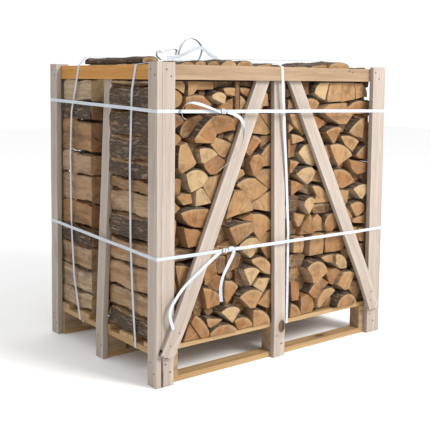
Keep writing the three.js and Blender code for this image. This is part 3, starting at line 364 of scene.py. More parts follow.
for name, (points, depth, turns, edge) in LOOSE_ENDS.items():
    route = [Vector((x, depth, z)) for x, z in points]
    line, _ = smooth_line(route, 48)
    if name == "loose_end_lower_left":
        line = [Vector((p.x, p.y + diagonal_back(p.z), p.z)) for p in line]
    path = [placed(p.x, p.y, p.z) for p in line]
    widths = []
    for i, p in enumerate(path):
        tangent = (path[min(i + 1, len(path) - 1)] - path[max(i - 1, 0)]).normalized()
        flat = INWARDS.cross(tangent).normalized()
        place = i / (len(path) - 1) * (len(turns) - 1)
        before = min(int(place), len(turns) - 2)
        turn = turns[before] + (turns[before + 1] - turns[before]) * (place - before)
        widths.append(flat * (1.0 - turn) + edge * turn)
    piece = band_mesh(name + "_band", path, widths)
    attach(piece, "root")
    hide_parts(name)




# The pallet and the frame
# Rough-sawn softwood boards, nailed: a yellowish pallet with tan blocks, pale planks, posts and
# diagonals that lean in behind the rails, tan rails on the long sides and ochre ones on the short
# sides. Arrises are a little worn.
def softwood(name, light, dark, ring, knots=()):
    """Sawn softwood; `knots` lists (along, across, half length, half width) on the board that has them."""
    f = Finish(name)
    grain = f.read("grain")
    cut = f.split(f.read("cut"))
    along, across, through = f.split(grain)
    wander = f.clouds(f.scaled(grain, 2.2, 20.0, 20.0), 1.0, 3.0)
    aside, deep = across - cut[0], through - cut[1]
    from_heart = (aside * aside + deep * deep).math("SQRT") + wander * 0.030
    late_wood = ((from_heart * (2 * math.pi / 0.0056)).math("SINE") * 0.5 + 0.5) ** 2.5
    streaks = f.clouds(f.scaled(grain, 1.1, 30.0, 30.0), 1.0, 4.0, 0.62)
    fibres = f.clouds(f.scaled(grain, 16.0, 420.0, 420.0), 1.0, 2.0)
    place = f.node("ShaderNodeTexCoord", {}, {}, "Object")
    patches = f.clouds(place, 4.5, 4.0, 0.6)
    colour = f.blended(f.between(streaks, 0.34, 0.70), light, dark)
    colour = f.blended(late_wood * f.between(patches, 0.35, 0.65, 0.06, 0.30), colour, ring)
    colour = f.blended(f.between(fibres, 0.45, 0.75, 0.0, 0.38), colour, ring)
    colour = f.blended(f.between(patches, 0.50, 0.80, 0.0, 0.35), colour, dark)
    # Knots of the tree's branches: dark ovals with the grain drawn round them
    around = f.node("ShaderNodeTexVoronoi", {"feature": "F1"},
                    {"Vector": f.shifted(f.scaled(grain, 2.1, 5.2, 5.2),
                                         f.scaled(f.read("cut"), 3.0, 5.0, 7.0)),
                     "Scale": 1.0}, "Distance")
    knot = f.between(around, 0.050, 0.072, 1.0, 0.0)
    halo = f.between(around, 0.06, 0.16, 0.55, 0.0)
    for at, side, long, wide in knots:
        reach = (((along - at) / long) ** 2.0 + ((across - side) / wide) ** 2.0).math("SQRT")
        knot = knot.math("MAXIMUM", f.between(reach, 0.75, 1.0, 1.0, 0.0))
        halo = halo.math("MAXIMUM", f.between(reach, 0.9, 2.2, 0.55, 0.0))
    colour = f.blended(halo, colour, ring)
    knot_wood = f.blended(f.between(streaks, 0.4, 0.6), (0.030, 0.016, 0.009), (0.11, 0.055, 0.028))
    colour = f.blended(knot, colour, knot_wood)
    # Bark left on the board's edge
    wane = f.read("wane", "Fac")
    bark = f.blended(f.between(f.clouds(f.scaled(grain, 60.0, 160.0, 160.0), 1.0, 4.0), 0.4, 0.65),
                     (0.045, 0.028, 0.018), (0.14, 0.092, 0.060))
    colour = f.blended(wane, colour, bark)
    # The band saw's marks run across the board
    saw = (along * (2 * math.pi / 0.0031) + wander * 9.0).math("SINE") * 0.5 + 0.5
    height = fibres * 0.55 + late_wood * 0.25 + saw * 0.20 - knot * 0.4
    return f.done(colour, f.between(patches, 0.3, 0.8, 0.72, 0.9), height, 0.0007)


pale_boards = softwood("pale sawn boards",
                       (0.381, 0.326, 0.281), (0.296, 0.244, 0.204), (0.235, 0.177, 0.133))
tan_boards = softwood("tan sawn boards", (0.315, 0.217, 0.132), (0.223, 0.143, 0.080), (0.168, 0.100, 0.050))
ochre_boards = softwood("ochre sawn boards",
                        (0.460, 0.221, 0.048), (0.350, 0.149, 0.025), (0.240, 0.095, 0.017))
pallet_boards = softwood("pallet boards", (0.395, 0.262, 0.125), (0.300, 0.180, 0.075), (0.210, 0.115, 0.045))
# The front post has one great knot, near its foot
post_board = softwood("pale board with a knot",
                      (0.405, 0.350, 0.305), (0.315, 0.262, 0.222), (0.250, 0.190, 0.145),
                      knots=((0.126, 0.010, 0.030, 0.020),))

ARRIS = 0.0012
RING_STEP, STRIP_STEP = 0.030, 0.012
# How deep the sawn faces are worn, how far up an end breaks, and how bark stands on an edge
FACE_WEAR = 0.0011
BREAK_REACH = 0.012
BARK_FADE, BARK_THICKNESS = 0.03, 0.006
EDGE_OF_BOARD = -0.020


def worn_board(node, finish, jagged=0.0, waney=0.0):
    """A copy of a board's solid with worn arrises. Each point records how far it lies along, across and
    through the board. `jagged` is how far the lower end is broken up, `waney` how high bark reaches."""
    work = bmesh.new()
    work.from_mesh(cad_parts[node].data)
    bmesh.ops.remove_doubles(work, verts=work.verts, dist=1e-5)
    bmesh.ops.dissolve_limit(work, angle_limit=0.01, verts=work.verts, edges=work.edges)
    longest = max(work.edges, key=lambda e: e.calc_length())
    along = (longest.verts[1].co - longest.verts[0].co).normalized()
    if along.dot(Vector((1, 1, 1))) < 0:
        along = -along
    through = max(work.faces, key=lambda face: face.calc_area()).normal.copy()
    if through.dot(Vector((1, 1, 1))) < 0:
        through = -through
    across = through.cross(along).normalized()
    low = min((v.co for v in work.verts), key=lambda p: p.dot(along)).copy()
    middle = sum((v.co for v in work.verts), Vector()) / len(work.verts)
    for direction, step in ((along, RING_STEP), (across, STRIP_STEP)):
        edges = [e for e in work.edges
                 if abs((e.verts[1].co - e.verts[0].co).normalized().dot(direction)) > 0.85]
        reach = max(e.calc_length() for e in edges)
        cuts = max(1, min(60, round(reach / step) - 1))
        bmesh.ops.subdivide_edges(work, edges=edges, cuts=cuts, use_grid_fill=True)
    sharp = [e for e in work.edges if e.is_manifold and e.calc_face_angle() > 0.6]
    bmesh.ops.bevel(work, geom=sharp, offset=ARRIS, segments=2, profile=0.6, affect="EDGES")
    work.normal_update()
    shift = Vector((random.uniform(-9, 9), random.uniform(-9, 9), random.uniform(-9, 9)))
    sunk = {}
    for v in work.verts:
        rough = noise.noise(v.co * 9.0 + shift) + 0.5 * noise.noise(v.co * 33.0 + shift)
        sunk[v.index] = v.normal * (-FACE_WEAR * max(0.0, rough))
    barky = {}
    for v in work.verts:
        v.co += sunk[v.index]
        if jagged:
            up = (v.co - low).dot(along)
            if up < BREAK_REACH:
                side = (v.co - middle).dot(across)
                spike = abs(noise.noise(Vector((side * 130.0, 3.0, 0.0)) + shift)) * 1.8
                v.co += along * jagged * min(1.0, spike)
        if waney:
            side = (v.co - middle).dot(across)
            share = min(1.0, max(0.0, (waney - v.co.z) / BARK_FADE))
            if side < EDGE_OF_BOARD and share > 0.0:
                v.co += across * (BARK_THICKNESS * share * (0.7 + 0.3 * noise.noise(v.co * 60.0)))
                barky[v.index] = share
    mesh = bpy.data.meshes.new(node + "_board")
    work.to_mesh(mesh)
    work.free()
    grain, bark = [], []
    for v in mesh.vertices:
        p = v.co - middle
        grain += [(v.co - low).dot(along), p.dot(across), p.dot(through)]
        bark.append(barky.get(v.index, 0.0))
    mesh.attributes.new("grain", "FLOAT_VECTOR", "POINT").data.foreach_set("vector", grain)
    mesh.attributes.new("wane", "FLOAT", "POINT").data.foreach_set("value", bark)
    cut = [random.uniform(-0.05, 0.05), random.uniform(0.02, 0.09), random.uniform(0, 9)]
    mesh.attributes.new("cut", "FLOAT_VECTOR", "POINT").data.foreach_set("vector", cut * len(mesh.vertices))
    mesh.materials.append(finish)
    piece = bpy.data.objects.new(node + "_board", mesh)
    bpy.context.scene.collection.objects.link(piece)
    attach(piece, "root")
    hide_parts(node)


BARK_HEIGHT = 0.115
BROKEN_FOOT, SAWN_FOOT = 0.038, 0.003
for row in ("front", "middle", "back"):
    worn_board("runner_" + row, pallet_boards)
    for place in ("left", "middle", "right"):
        worn_board(f"block_{row}_{place}", tan_boards)
for place in ("left", "middle", "right"):
    worn_board("stringer_" + place, pallet_boards)
for number in range(1, 6):
    worn_board(f"deck_board_{number}", pallet_boards)
for side in ("front", "right", "back", "left"):
    for number in (1, 2):
        bark_height = BARK_HEIGHT if (side, number) == ("front", 1) else 0.0
        worn_board(f"corner_plank_{side}_{number}", pale_boards, waney=bark_height)
    worn_board("rail_" + side, tan_boards if side in ("front", "back") else ochre_boards)
    worn_board("middle_post_" + side, post_board if side == "front" else pale_boards)
for side in ("front", "back"):
    for place in ("left", "right"):
        broken = BROKEN_FOOT if (side, place) == ("front", "left") else SAWN_FOOT
        worn_board(f"diagonal_{side}_{place}", pale_boards, jagged=broken)


# The nails
# Round steel nails driven flush in pairs, through the planks into the rails' ends and the pallet, through
# the posts' feet and the diagonals' feet, and through the right end of each long rail. Their flat heads
# are 7 mm across and dull with rust.
def nail_finish():
    f = Finish("nail steel")
    f.coat.inputs["Metallic"].default_value = 0.6
    place = f.node("ShaderNodeTexCoord", {}, {}, "Object")
    rust = f.clouds(place, 160.0, 3.0)
    colour = f.blended(f.between(rust, 0.42, 0.6), (0.16, 0.15, 0.145), (0.13, 0.060, 0.030))
    return f.done(colour, f.between(rust, 0.3, 0.7, 0.42, 0.75), rust, 0.0002)


LENGTH, WIDTH = 1200.0, 846.0
SIDES = {
    "front": (lambda u, v: (u, v), (0, -1, 0), LENGTH),
    "right": (lambda u, v: (LENGTH - v, u), (1, 0, 0), WIDTH),
    "back": (lambda u, v: (LENGTH - u, WIDTH - v), (0, 1, 0), LENGTH),
    "left": (lambda u, v: (v, WIDTH - u), (-1, 0, 0), WIDTH),
}
# The boards that are nailed, each seen from its own side: where they start along it, and their widths
LONG_SIDE_PLANK, SHORT_SIDE_PLANK = (22.3, 54.7), (0.0, 60.0)
POST_START = {"front": 567, "right": 400, "back": 567, "left": 400}
POST_WIDTH = 58
DIAGONAL_CENTRES = ((34.2, 548.2), (1148.9, 683.9))
DIAGONAL_FOOT = 113.0
# How far into the crate their faces lie
POST_FACE, RAIL_FACE = -0.3, 21.9
DIAGONAL_FACE = {"front": -20.2, "back": -19.3}
# Each nail's share of its board's width and its height; on a diagonal, how far it is from the middle
PLANK_NAILS = ((0.28, 1158), (0.72, 1136), (0.30, 88), (0.68, 52))
POST_NAILS = ((0.3, 92), (0.7, 54))
DIAGONAL_NAILS = ((-9, 158), (10, 196))
# These two are given by their place along the side
RAIL_NAILS = ((998, 1166), (1016, 1161))
SCATTER_ALONG, SCATTER_UP = 2.5, 3
nail_places, nail_facings = [], []


def nail(side, u, v, z):
    """A nail in one side's boards: along the side, into the crate and up, in millimetres."""
    turned, facing, _ = SIDES[side]
    aside = random.uniform(-SCATTER_ALONG, SCATTER_ALONG)
    x, y = turned(u + aside, v)
    nail_places.append(placed(x, y, z + random.uniform(-SCATTER_UP, SCATTER_UP)))
    nail_facings.extend(facing)


for side, (_, _, span) in SIDES.items():
    long = side in ("front", "back")
    start, wide = LONG_SIDE_PLANK if long else SHORT_SIDE_PLANK
    for first in (start, span - start - wide):
        for share, z in PLANK_NAILS:
            nail(side, first + wide * share, 0.0, z)
    for share, z in POST_NAILS:
        nail(side, POST_START[side] + POST_WIDTH * share, POST_FACE, z)
    if long:
        for foot_centre, top_centre in DIAGONAL_CENTRES:
            lean = (top_centre - foot_centre) / (DIAGONAL_TOP - DIAGONAL_FOOT)
            for aside, z in DIAGONAL_NAILS:
                nail(side, foot_centre + (z - DIAGONAL_FOOT) * lean + aside, DIAGONAL_FACE[side], z)
        for u, z in RAIL_NAILS:
            nail(side, u, RAIL_FACE, z)


def nail_heads(finish):
    """A tree that sets a nail's head on each point, facing the way that the point records."""
    tree = bpy.data.node_groups.new("nail heads", "GeometryNodeTree")
    face = tree.interface
    face.new_socket("Geometry", in_out="INPUT", socket_type="NodeSocketGeometry")
    face.new_socket("Head Radius", in_out="INPUT", socket_type="NodeSocketFloat")
    face.new_socket("Head Height", in_out="INPUT", socket_type="NodeSocketFloat")
    face.new_socket("Geometry", in_out="OUTPUT", socket_type="NodeSocketGeometry")
    make = tree.nodes.new
    given, result = make("NodeGroupInput"), make("NodeGroupOutput")
    head = make("GeometryNodeMeshCone")
    head.inputs["Vertices"].default_value = 12
    narrower = make("ShaderNodeMath")
    narrower.operation = "MULTIPLY"
    narrower.inputs[1].default_value = 0.82
    facing = make("GeometryNodeInputNamedAttribute")
    facing.data_type = "FLOAT_VECTOR"
    facing.inputs["Name"].default_value = "facing"
    turn = make("FunctionNodeAlignRotationToVector")
    turn.axis = "Z"
    setting = make("GeometryNodeInstanceOnPoints")
    real = make("GeometryNodeRealizeInstances")
    coat = make("GeometryNodeSetMaterial")
    coat.inputs["Material"].default_value = finish
    for source, target in (
            (given.outputs["Head Radius"], head.inputs["Radius Bottom"]),
            (given.outputs["Head Radius"], narrower.inputs[0]),
            (narrower.outputs[0], head.inputs["Radius Top"]),
            (given.outputs["Head Height"], head.inputs["Depth"]),
            (given.outputs["Geometry"], setting.inputs["Points"]),
            (head.outputs["Mesh"], setting.inputs["Instance"]),
            (facing.outputs["Attribute"], turn.inputs["Vector"]),
            (turn.outputs["Rotation"], setting.inputs["Rotation"]),
            (setting.outputs["Instances"], real.inputs["Geometry"]),
            (real.outputs["Geometry"], coat.inputs["Geometry"]),
            (coat.outputs["Geometry"], result.inputs["Geometry"])):
        tree.links.new(source, target)
    return tree


def grown_from(tree, mesh, name, values):
    """The plain mesh that a tree makes of `mesh`, as an object of its own."""
    holder = bpy.data.objects.new(name, mesh)
    bpy.context.scene.collection.objects.link(holder)
    growth = holder.modifiers.new("growth", "NODES")
    growth.node_group = tree
    for item in tree.interface.items_tree:
        if item.in_out == "INPUT" and item.name in values:
            growth[item.identifier] = values[item.name]
    bpy.context.view_layer.update()
    made = bpy.data.meshes.new_from_object(holder.evaluated_get(bpy.context.evaluated_depsgraph_get()))
    holder.modifiers.clear()
    holder.data = made
    return holder


nail_points = bpy.data.meshes.new("nail points")
nail_points.from_pydata(nail_places, [], [])
nail_points.attributes.new("facing", "FLOAT_VECTOR", "POINT").data.foreach_set("vector", nail_facings)
nails = grown_from(nail_heads(nail_finish()), nail_points, "nails",
                   {"Head Radius": 0.0036, "Head Height": 0.0009})
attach(nails, "root")


# The oak billets
# Oak split green and sawn square to about a third of a metre: wedges and slabs with their bark on one
# side, stacked in two rows with their ends to the front and the back. The ends that face the camera are
# listed as they are seen: colour (1 pale, 2 tan, 3 orange, 4 dark: dark wood with painted shade, for
# ends that lie back in shadow), how far the end stands out, how far its bark side bulges, then the
# corners' x and z, the bark side between the first two.
near_column = [
    [2, -8, 8, 28, 1010, 30, 1096, 112, 1092, 140, 1083, 166, 1058, 158, 1028, 120, 1008],
    [3, -6, 8, 30, 910, 28, 1000, 112, 1000, 150, 993, 172, 965, 120, 938, 80, 908],
    [2, -8, 8, 28, 818, 28, 902, 112, 930, 150, 915, 160, 903, 116, 868, 100, 818],
    [2, -5, 8, 26, 748, 28, 812, 112, 860, 119, 792, 118, 762],
    [3, -5, 0, 28, 697, 28, 744, 103, 758, 147, 758, 143, 700, 105, 690],
    [2, -6, 0, 28, 604, 28, 694, 104, 686, 132, 654, 150, 646, 120, 628, 104, 606],
    [2, -6, 10, 26, 512, 28, 596, 103, 604, 124, 606, 120, 560, 108, 500],
    [2, -5, 0, 28, 416, 28, 506, 104, 494, 100, 440, 98, 418],
    [2, -3, 0, 26, 312, 26, 408, 100, 412, 120, 336, 98, 318],
    [2, -3, 0, 28, 226, 28, 306, 96, 312, 104, 300, 104, 232],
    [2, -3, 8, 28, 145, 28, 218, 90, 226, 130, 186, 128, 145],
]
face = [
    [3, 0, 0, 107, 232, 104, 312, 150, 300, 182, 240, 150, 190, 132, 190],
    [3, 8, 0, 134, 145, 148, 182, 163, 210, 210, 145],
    [3, 14, 10, 185, 241, 252, 165, 250, 145, 213, 145, 165, 213],
    [2, 6, 5, 243, 214, 322, 199, 298, 184, 262, 174, 250, 184],
    [3, 18, 32, 254, 160, 388, 145, 254, 145],
    [3, 12, 22, 372, 186, 467, 160, 467, 145, 393, 145],
    [2, 16, 18, 468, 213, 558, 160, 556, 145, 468, 145],
    [3, -20, 8, 566, 202, 640, 205, 668, 150, 600, 145, 562, 145],
    [3, 10, 14, 676, 203, 735, 150, 735, 145, 670, 145],
    [3, 4, 0, 739, 222, 775, 226, 806, 205, 818, 165, 800, 145, 738, 145],
    [2, 18, 14, 858, 234, 930, 222, 832, 160, 822, 175, 824, 198],
    [3, 25, 55, 931, 147, 1059, 145],
    [4, -14, 0, 840, 147, 880, 185, 925, 196, 935, 180, 925, 147],
    [2, 0, 0, 1022, 216, 1060, 243, 1106, 226, 1112, 205, 1085, 166, 1066, 166, 1048, 192],
    [4, -10, 0, 1064, 147, 1068, 162, 1088, 166, 1114, 200, 1172, 196, 1172, 147],
    [4, -12, 8, 1040, 255, 1062, 300, 1100, 290, 1108, 240, 1052, 247],
    [2, -6, 0, 1104, 290, 1172, 285, 1172, 212, 1118, 205, 1110, 240],
    [3, 12, 10, 222, 338, 305, 300, 305, 260, 243, 252, 234, 300],
    [4, -14, 0, 183, 246, 198, 300, 222, 325, 232, 300, 240, 256, 200, 250],
    [1, 20, 20, 303, 232, 400, 228, 360, 180],
    [3, -8, 8, 243, 345, 300, 376, 328, 362, 322, 312, 306, 304],
    [3, 12, 12, 328, 350, 398, 318, 338, 253, 326, 290],
    [2, 12, 24, 402, 272, 523, 275, 483, 218, 460, 218],
    [2, 6, 0, 503, 228, 560, 276, 594, 279, 565, 200, 545, 206],
    [1, 16, 3, 512, 331, 572, 326, 553, 290, 535, 268, 484, 303],
    [1, 25, 14, 412, 385, 500, 368, 450, 313],
    [4, -12, 0, 402, 322, 398, 380, 425, 380, 445, 320, 440, 300],
    [4, -10, 8, 298, 440, 352, 440, 352, 378, 318, 372, 300, 398],
    [4, -5, 0, 356, 372, 354, 445, 402, 450, 430, 440, 412, 388],
    [3, 8, 0, 238, 354, 235, 400, 250, 425, 290, 433, 298, 378],
    [2, 0, 0, 150, 340, 185, 425, 232, 430, 234, 355, 215, 330, 190, 310],
    [2, 2, 6, 105, 437, 182, 422, 140, 335, 126, 335],
    [2, 16, 22, 460, 415, 563, 385, 561, 343, 540, 347, 470, 397],
    [1, 12, 14, 402, 476, 488, 502, 512, 478, 480, 430, 462, 420, 432, 442],
    [2, -10, 0, 520, 478, 558, 510, 592, 512, 592, 400, 566, 400, 540, 440],
    [3, 0, 0, 684, 290, 706, 292, 734, 276, 733, 206, 692, 208],
    [2, 25, 26, 757, 342, 865, 342, 880, 310, 815, 277, 794, 272, 782, 310],
    [3, 10, 8, 776, 234, 850, 290, 900, 258, 860, 234, 826, 197, 800, 212],
    [3, 8, 0, 880, 308, 950, 315, 976, 297, 935, 253, 925, 243, 902, 256],
    [2, 25, 8, 975, 298, 1047, 285, 1010, 218, 985, 215, 935, 248],
    [1, 22, 14, 930, 380, 1000, 340, 998, 310, 960, 312, 932, 337],
    [2, 5, 5, 857, 372, 929, 379, 931, 338, 888, 348],
    [2, -8, 0, 985, 386, 1003, 402, 1042, 352, 1025, 335],
    [4, -15, 0, 1003, 305, 1005, 340, 1022, 332, 1050, 335, 1062, 302],
    [3, 15, 0, 878, 392, 872, 432, 882, 475, 986, 475, 990, 430, 985, 395, 940, 389],
    [2, 12, 0, 783, 388, 786, 440, 800, 476, 866, 476, 868, 430, 862, 389],
    [2, 15, 0, 690, 414, 690, 476, 748, 478, 750, 440, 743, 408],
    [4, -10, 10, 690, 348, 690, 402, 745, 404, 778, 388, 755, 345],
    [2, 2, 0, 1083, 446, 1090, 475, 1172, 475, 1172, 405, 1140, 405, 1102, 412],
    [3, 0, 0, 994, 410, 994, 476, 1040, 476, 1050, 400, 1010, 398],
    [2, 0, 0, 1046, 476, 1082, 476, 1098, 412, 1085, 385, 1055, 392],
    [3, -2, 0, 1102, 404, 1172, 400, 1172, 325, 1138, 330, 1105, 360],
    [2, 3, 8, 1066, 304, 1050, 350, 1085, 380, 1102, 358, 1136, 326, 1130, 295],
    [3, 14, 0, 140, 574, 165, 566, 205, 560, 222, 548, 218, 500, 160, 497, 150, 530],
    [4, -6, 8, 104, 446, 110, 494, 207, 487, 190, 450],
    [2, -2, 0, 195, 452, 212, 486, 222, 500, 262, 500, 300, 478, 296, 442, 250, 432],
    [4, -8, 8, 300, 446, 305, 482, 372, 500, 398, 478, 400, 455, 352, 444],
    [3, 22, 6, 347, 553, 455, 569, 478, 532, 440, 511, 385, 482, 373, 502],
    [3, -5, 0, 225, 502, 226, 548, 250, 566, 300, 560, 318, 520, 290, 490],
    [4, -18, 0, 300, 488, 322, 545, 345, 552, 368, 500, 352, 486],
    [2, 18, 18, 482, 592, 592, 548, 585, 524, 560, 516, 522, 478, 480, 535],
    [3, 6, 0, 425, 578, 478, 598, 484, 562, 445, 566],
    [3, 12, 0, 727, 483, 747, 520, 787, 565, 796, 560, 812, 520, 814, 483],
    [2, 5, 0, 700, 578, 766, 563, 740, 518, 724, 516, 706, 550],
    [4, -14, 0, 688, 484, 690, 545, 705, 545, 724, 514, 738, 512, 726, 484],
    [3, 25, 40, 868, 515, 957, 530, 935, 494, 912, 479, 884, 481],
    [2, 2, 10, 818, 486, 812, 540, 840, 562, 866, 540, 872, 485],
    [2, -10, 0, 930, 482, 958, 515, 990, 500, 996, 478],
    [2, 0, 0, 962, 522, 965, 565, 1015, 578, 1045, 520, 1040, 485, 1000, 482],
    [2, -6, 0, 1022, 577, 1040, 560, 1069, 525, 1050, 514],
    [2, 4, 0, 1048, 508, 1066, 523, 1112, 527, 1172, 545, 1172, 486, 1060, 499],
    [2, 8, 18, 1036, 580, 1130, 576, 1126, 545, 1090, 528, 1074, 527],
    [2, -4, 0, 1133, 600, 1172, 605, 1172, 550, 1130, 545],
    [3, 18, 14, 125, 632, 278, 628, 258, 590, 243, 563, 186, 572, 160, 585, 140, 605],
    [1, 14, 0, 200, 706, 222, 717, 236, 710, 275, 655, 198, 648],
    [2, 0, 0, 120, 688, 145, 700, 186, 695, 193, 660, 150, 655],
    [1, 12, 26, 155, 774, 262, 754, 235, 722, 180, 702, 166, 730],
    [2, 5, 0, 262, 752, 308, 757, 303, 700, 278, 655, 238, 720],
    [4, -10, 0, 282, 640, 306, 700, 330, 690, 352, 640, 345, 590, 300, 600],
    [2, -4, 0, 308, 706, 312, 757, 345, 770, 380, 720, 360, 650, 335, 695],
    [3, -6, 0, 247, 562, 262, 596, 282, 628, 340, 620, 342, 585, 318, 560],
    [2, 10, 0, 345, 586, 358, 640, 386, 692, 426, 691, 474, 636, 480, 608, 402, 598],
    [2, 4, 0, 484, 612, 486, 636, 525, 652, 562, 672, 592, 678, 592, 592, 560, 596, 520, 606],
    [2, 18, 12, 405, 714, 495, 737, 573, 686, 540, 662, 480, 639, 432, 692],
    [2, 5, 0, 500, 740, 530, 763, 592, 768, 592, 689, 576, 687],
    [2, -8, 5, 395, 730, 418, 778, 447, 770, 455, 752, 440, 743, 402, 722],
    [1, 22, 16, 750, 622, 808, 630, 800, 600, 778, 567, 748, 600],
    [4, -15, 0, 690, 582, 690, 645, 706, 655, 745, 640, 748, 600, 735, 575],
    [3, 5, 0, 687, 710, 722, 706, 756, 690, 735, 672, 704, 654, 690, 650],
    [1, 18, 12, 713, 737, 800, 764, 826, 742, 800, 702, 778, 690],
    [4, -10, 10, 740, 668, 765, 690, 800, 686, 826, 655, 812, 640, 780, 650],
    [2, 15, 14, 800, 684, 884, 650, 905, 606, 808, 609, 826, 640],
    [2, 0, 0, 806, 704, 830, 742, 850, 746, 890, 690, 850, 694],
    [4, 4, 4, 800, 602, 905, 602, 950, 575, 925, 562, 862, 560, 815, 565],
    [2, 2, 0, 960, 640, 975, 652, 1036, 646, 1029, 605, 1015, 582, 985, 585],
    [4, -14, 0, 1036, 612, 1040, 646, 1078, 612, 1060, 600],
    [1, 22, 14, 1040, 654, 1146, 665, 1141, 640, 1098, 602, 1080, 612],
    [2, -4, 0, 1148, 668, 1172, 672, 1172, 610, 1136, 606, 1118, 622],
    [3, 14, 12, 932, 742, 1032, 724, 1066, 682, 985, 657, 950, 670, 925, 700],
    [2, -3, 0, 888, 650, 880, 690, 925, 698, 960, 662, 958, 610, 912, 608],
    [2, -6, 0, 1118, 692, 1122, 714, 1150, 728, 1172, 730, 1172, 676, 1150, 674],
    [4, -16, 0, 1068, 684, 1072, 712, 1116, 708, 1114, 682],
    [3, 18, 0, 1015, 783, 1060, 776, 1120, 766, 1172, 752, 1172, 736, 1120, 718, 1075, 712, 1040, 736],
    [2, 12, 5, 122, 795, 128, 880, 160, 890, 178, 862, 205, 812, 196, 800, 140, 775],
    [1, 20, 16, 212, 864, 302, 840, 234, 808, 222, 814],
    [3, 15, 0, 238, 812, 302, 838, 345, 815, 345, 800, 325, 775, 300, 762, 272, 763, 246, 790],
    [2, 15, 6, 298, 905, 397, 868, 345, 822, 315, 835, 276, 876],
    [2, 0, 0, 362, 898, 396, 916, 399, 880, 386, 874],
    [4, -12, 0, 178, 866, 176, 886, 262, 882, 212, 864, 206, 818],
    [3, 18, 9, 478, 828, 526, 822, 527, 778, 500, 748, 478, 745, 457, 800],
    [2, 12, 6, 530, 822, 592, 878, 592, 779, 530, 776],
    [3, 12, 6, 488, 905, 534, 885, 472, 822, 448, 842],
    [2, -2, 0, 350, 790, 352, 818, 398, 862, 420, 850, 430, 800, 412, 776],
    [3, -4, 0, 402, 868, 404, 912, 440, 930, 485, 905, 448, 846, 424, 852],
    [4, -10, 0, 432, 800, 428, 842, 446, 838, 455, 800, 450, 776],
    [2, 12, 0, 494, 912, 512, 988, 527, 988, 592, 914, 570, 904],
    [2, -8, 0, 534, 988, 592, 990, 592, 925],
    [4, -8, 0, 536, 850, 538, 898, 592, 902, 592, 882],
    [3, 5, 4, 685, 798, 738, 785, 715, 765, 695, 742, 683, 745],
    [3, -5, 0, 683, 804, 683, 882, 697, 880, 700, 806],
    [1, 22, 10, 730, 826, 790, 864, 836, 800, 838, 790, 815, 765, 778, 776, 745, 812],
    [4, -15, 0, 702, 806, 700, 858, 742, 862, 728, 826, 742, 806],
    [2, 8, 8, 690, 903, 768, 881, 765, 874, 700, 862],
    [2, 0, 0, 683, 908, 684, 948, 712, 926],
    [2, 5, 0, 686, 986, 742, 988, 753, 945, 738, 918, 706, 944],
    [2, 0, 0, 756, 986, 812, 986, 826, 960, 800, 905, 760, 895, 745, 915],
    [3, -4, 0, 772, 868, 790, 900, 855, 912, 880, 870, 870, 845, 800, 850],
    [2, -3, 0, 818, 846, 880, 842, 905, 848, 930, 800, 905, 760, 850, 762, 840, 795],
    [3, 0, 0, 828, 976, 862, 965, 897, 946, 858, 918, 830, 950],
    [3, 18, 14, 880, 908, 978, 922, 938, 860, 925, 855],
    [2, 18, 6, 1022, 903, 1090, 958, 1122, 962, 1112, 872, 1068, 881],
    [2, 5, 0, 1124, 940, 1150, 943, 1172, 930, 1172, 858, 1120, 857],
    [2, 12, 14, 976, 886, 1092, 860, 1050, 815, 1004, 845],
    [2, 15, 22, 905, 850, 1040, 812, 1045, 798, 1012, 784, 960, 758, 936, 790],
    [3, 15, 6, 1066, 800, 1130, 846, 1172, 846, 1172, 772, 1085, 785],
    [4, -14, 0, 982, 925, 1000, 938, 1040, 942, 1018, 902, 975, 892, 965, 900],
    [3, 24, 6, 190, 905, 272, 985, 297, 984, 300, 930, 280, 882, 195, 888],
    [4, -15, 8, 150, 918, 172, 968, 240, 990, 262, 978, 195, 910, 165, 903],
    [3, 12, 10, 292, 986, 386, 975, 393, 930, 350, 925, 300, 915],
    [3, 6, 6, 165, 1058, 240, 1066, 283, 1032, 270, 1000, 162, 998],
    [2, 8, 0, 174, 1116, 229, 1116, 221, 1090, 200, 1068, 175, 1060],
    [2, 0, 0, 30, 1104, 32, 1117, 160, 1117, 171, 1100, 166, 1068, 148, 1084],
    [2, -4, 0, 232, 1116, 302, 1116, 302, 1086, 226, 1084],
    [1, 16, 18, 278, 1062, 350, 1062, 340, 1030, 286, 1050],
    [2, 6, 5, 340, 1090, 402, 1092, 400, 1060, 352, 1068],
    [3, -10, 0, 322, 1010, 345, 1028, 400, 1052, 400, 1006],
    [4, -12, 0, 306, 1090, 308, 1117, 400, 1117, 400, 1100, 340, 1096],
    [4, 2, 0, 405, 1006, 404, 1117, 424, 1117, 424, 1006],
    [2, -4, 0, 400, 918, 398, 1000, 430, 1002, 470, 985, 440, 935],
    [3, 10, 8, 427, 1092, 497, 1080, 482, 1050, 434, 1074],
    [2, 6, 8, 428, 1062, 468, 1020, 460, 1004, 427, 1004],
    [4, -10, 0, 428, 1104, 430, 1117, 500, 1117, 498, 1092],
    [2, -2, 0, 474, 1000, 484, 1046, 520, 1062, 550, 1020, 535, 992],
    [2, 5, 0, 537, 1018, 562, 1080, 575, 1066, 580, 1020],
    [2, -5, 0, 502, 1066, 504, 1117, 560, 1117, 556, 1078, 530, 1060],
    [4, -14, 0, 566, 1090, 566, 1117, 592, 1117, 592, 1070],
    [2, 6, 0, 681, 1046, 700, 1036, 713, 1009, 681, 1006],
    [2, -5, 0, 681, 1088, 694, 1088, 704, 1060, 681, 1054],
    [2, -3, 0, 718, 1008, 705, 1045, 720, 1062, 772, 1050, 784, 1008],
    [3, -5, 0, 698, 1092, 700, 1117, 752, 1117, 775, 1062, 720, 1068],
    [4, -12, 0, 768, 1117, 812, 1117, 812, 1064, 784, 1062],
    [3, 10, 12, 786, 1046, 862, 1031, 846, 1003, 788, 1001],
    [1, 15, 6, 818, 1072, 842, 1114, 905, 1116, 882, 1041, 850, 1053],
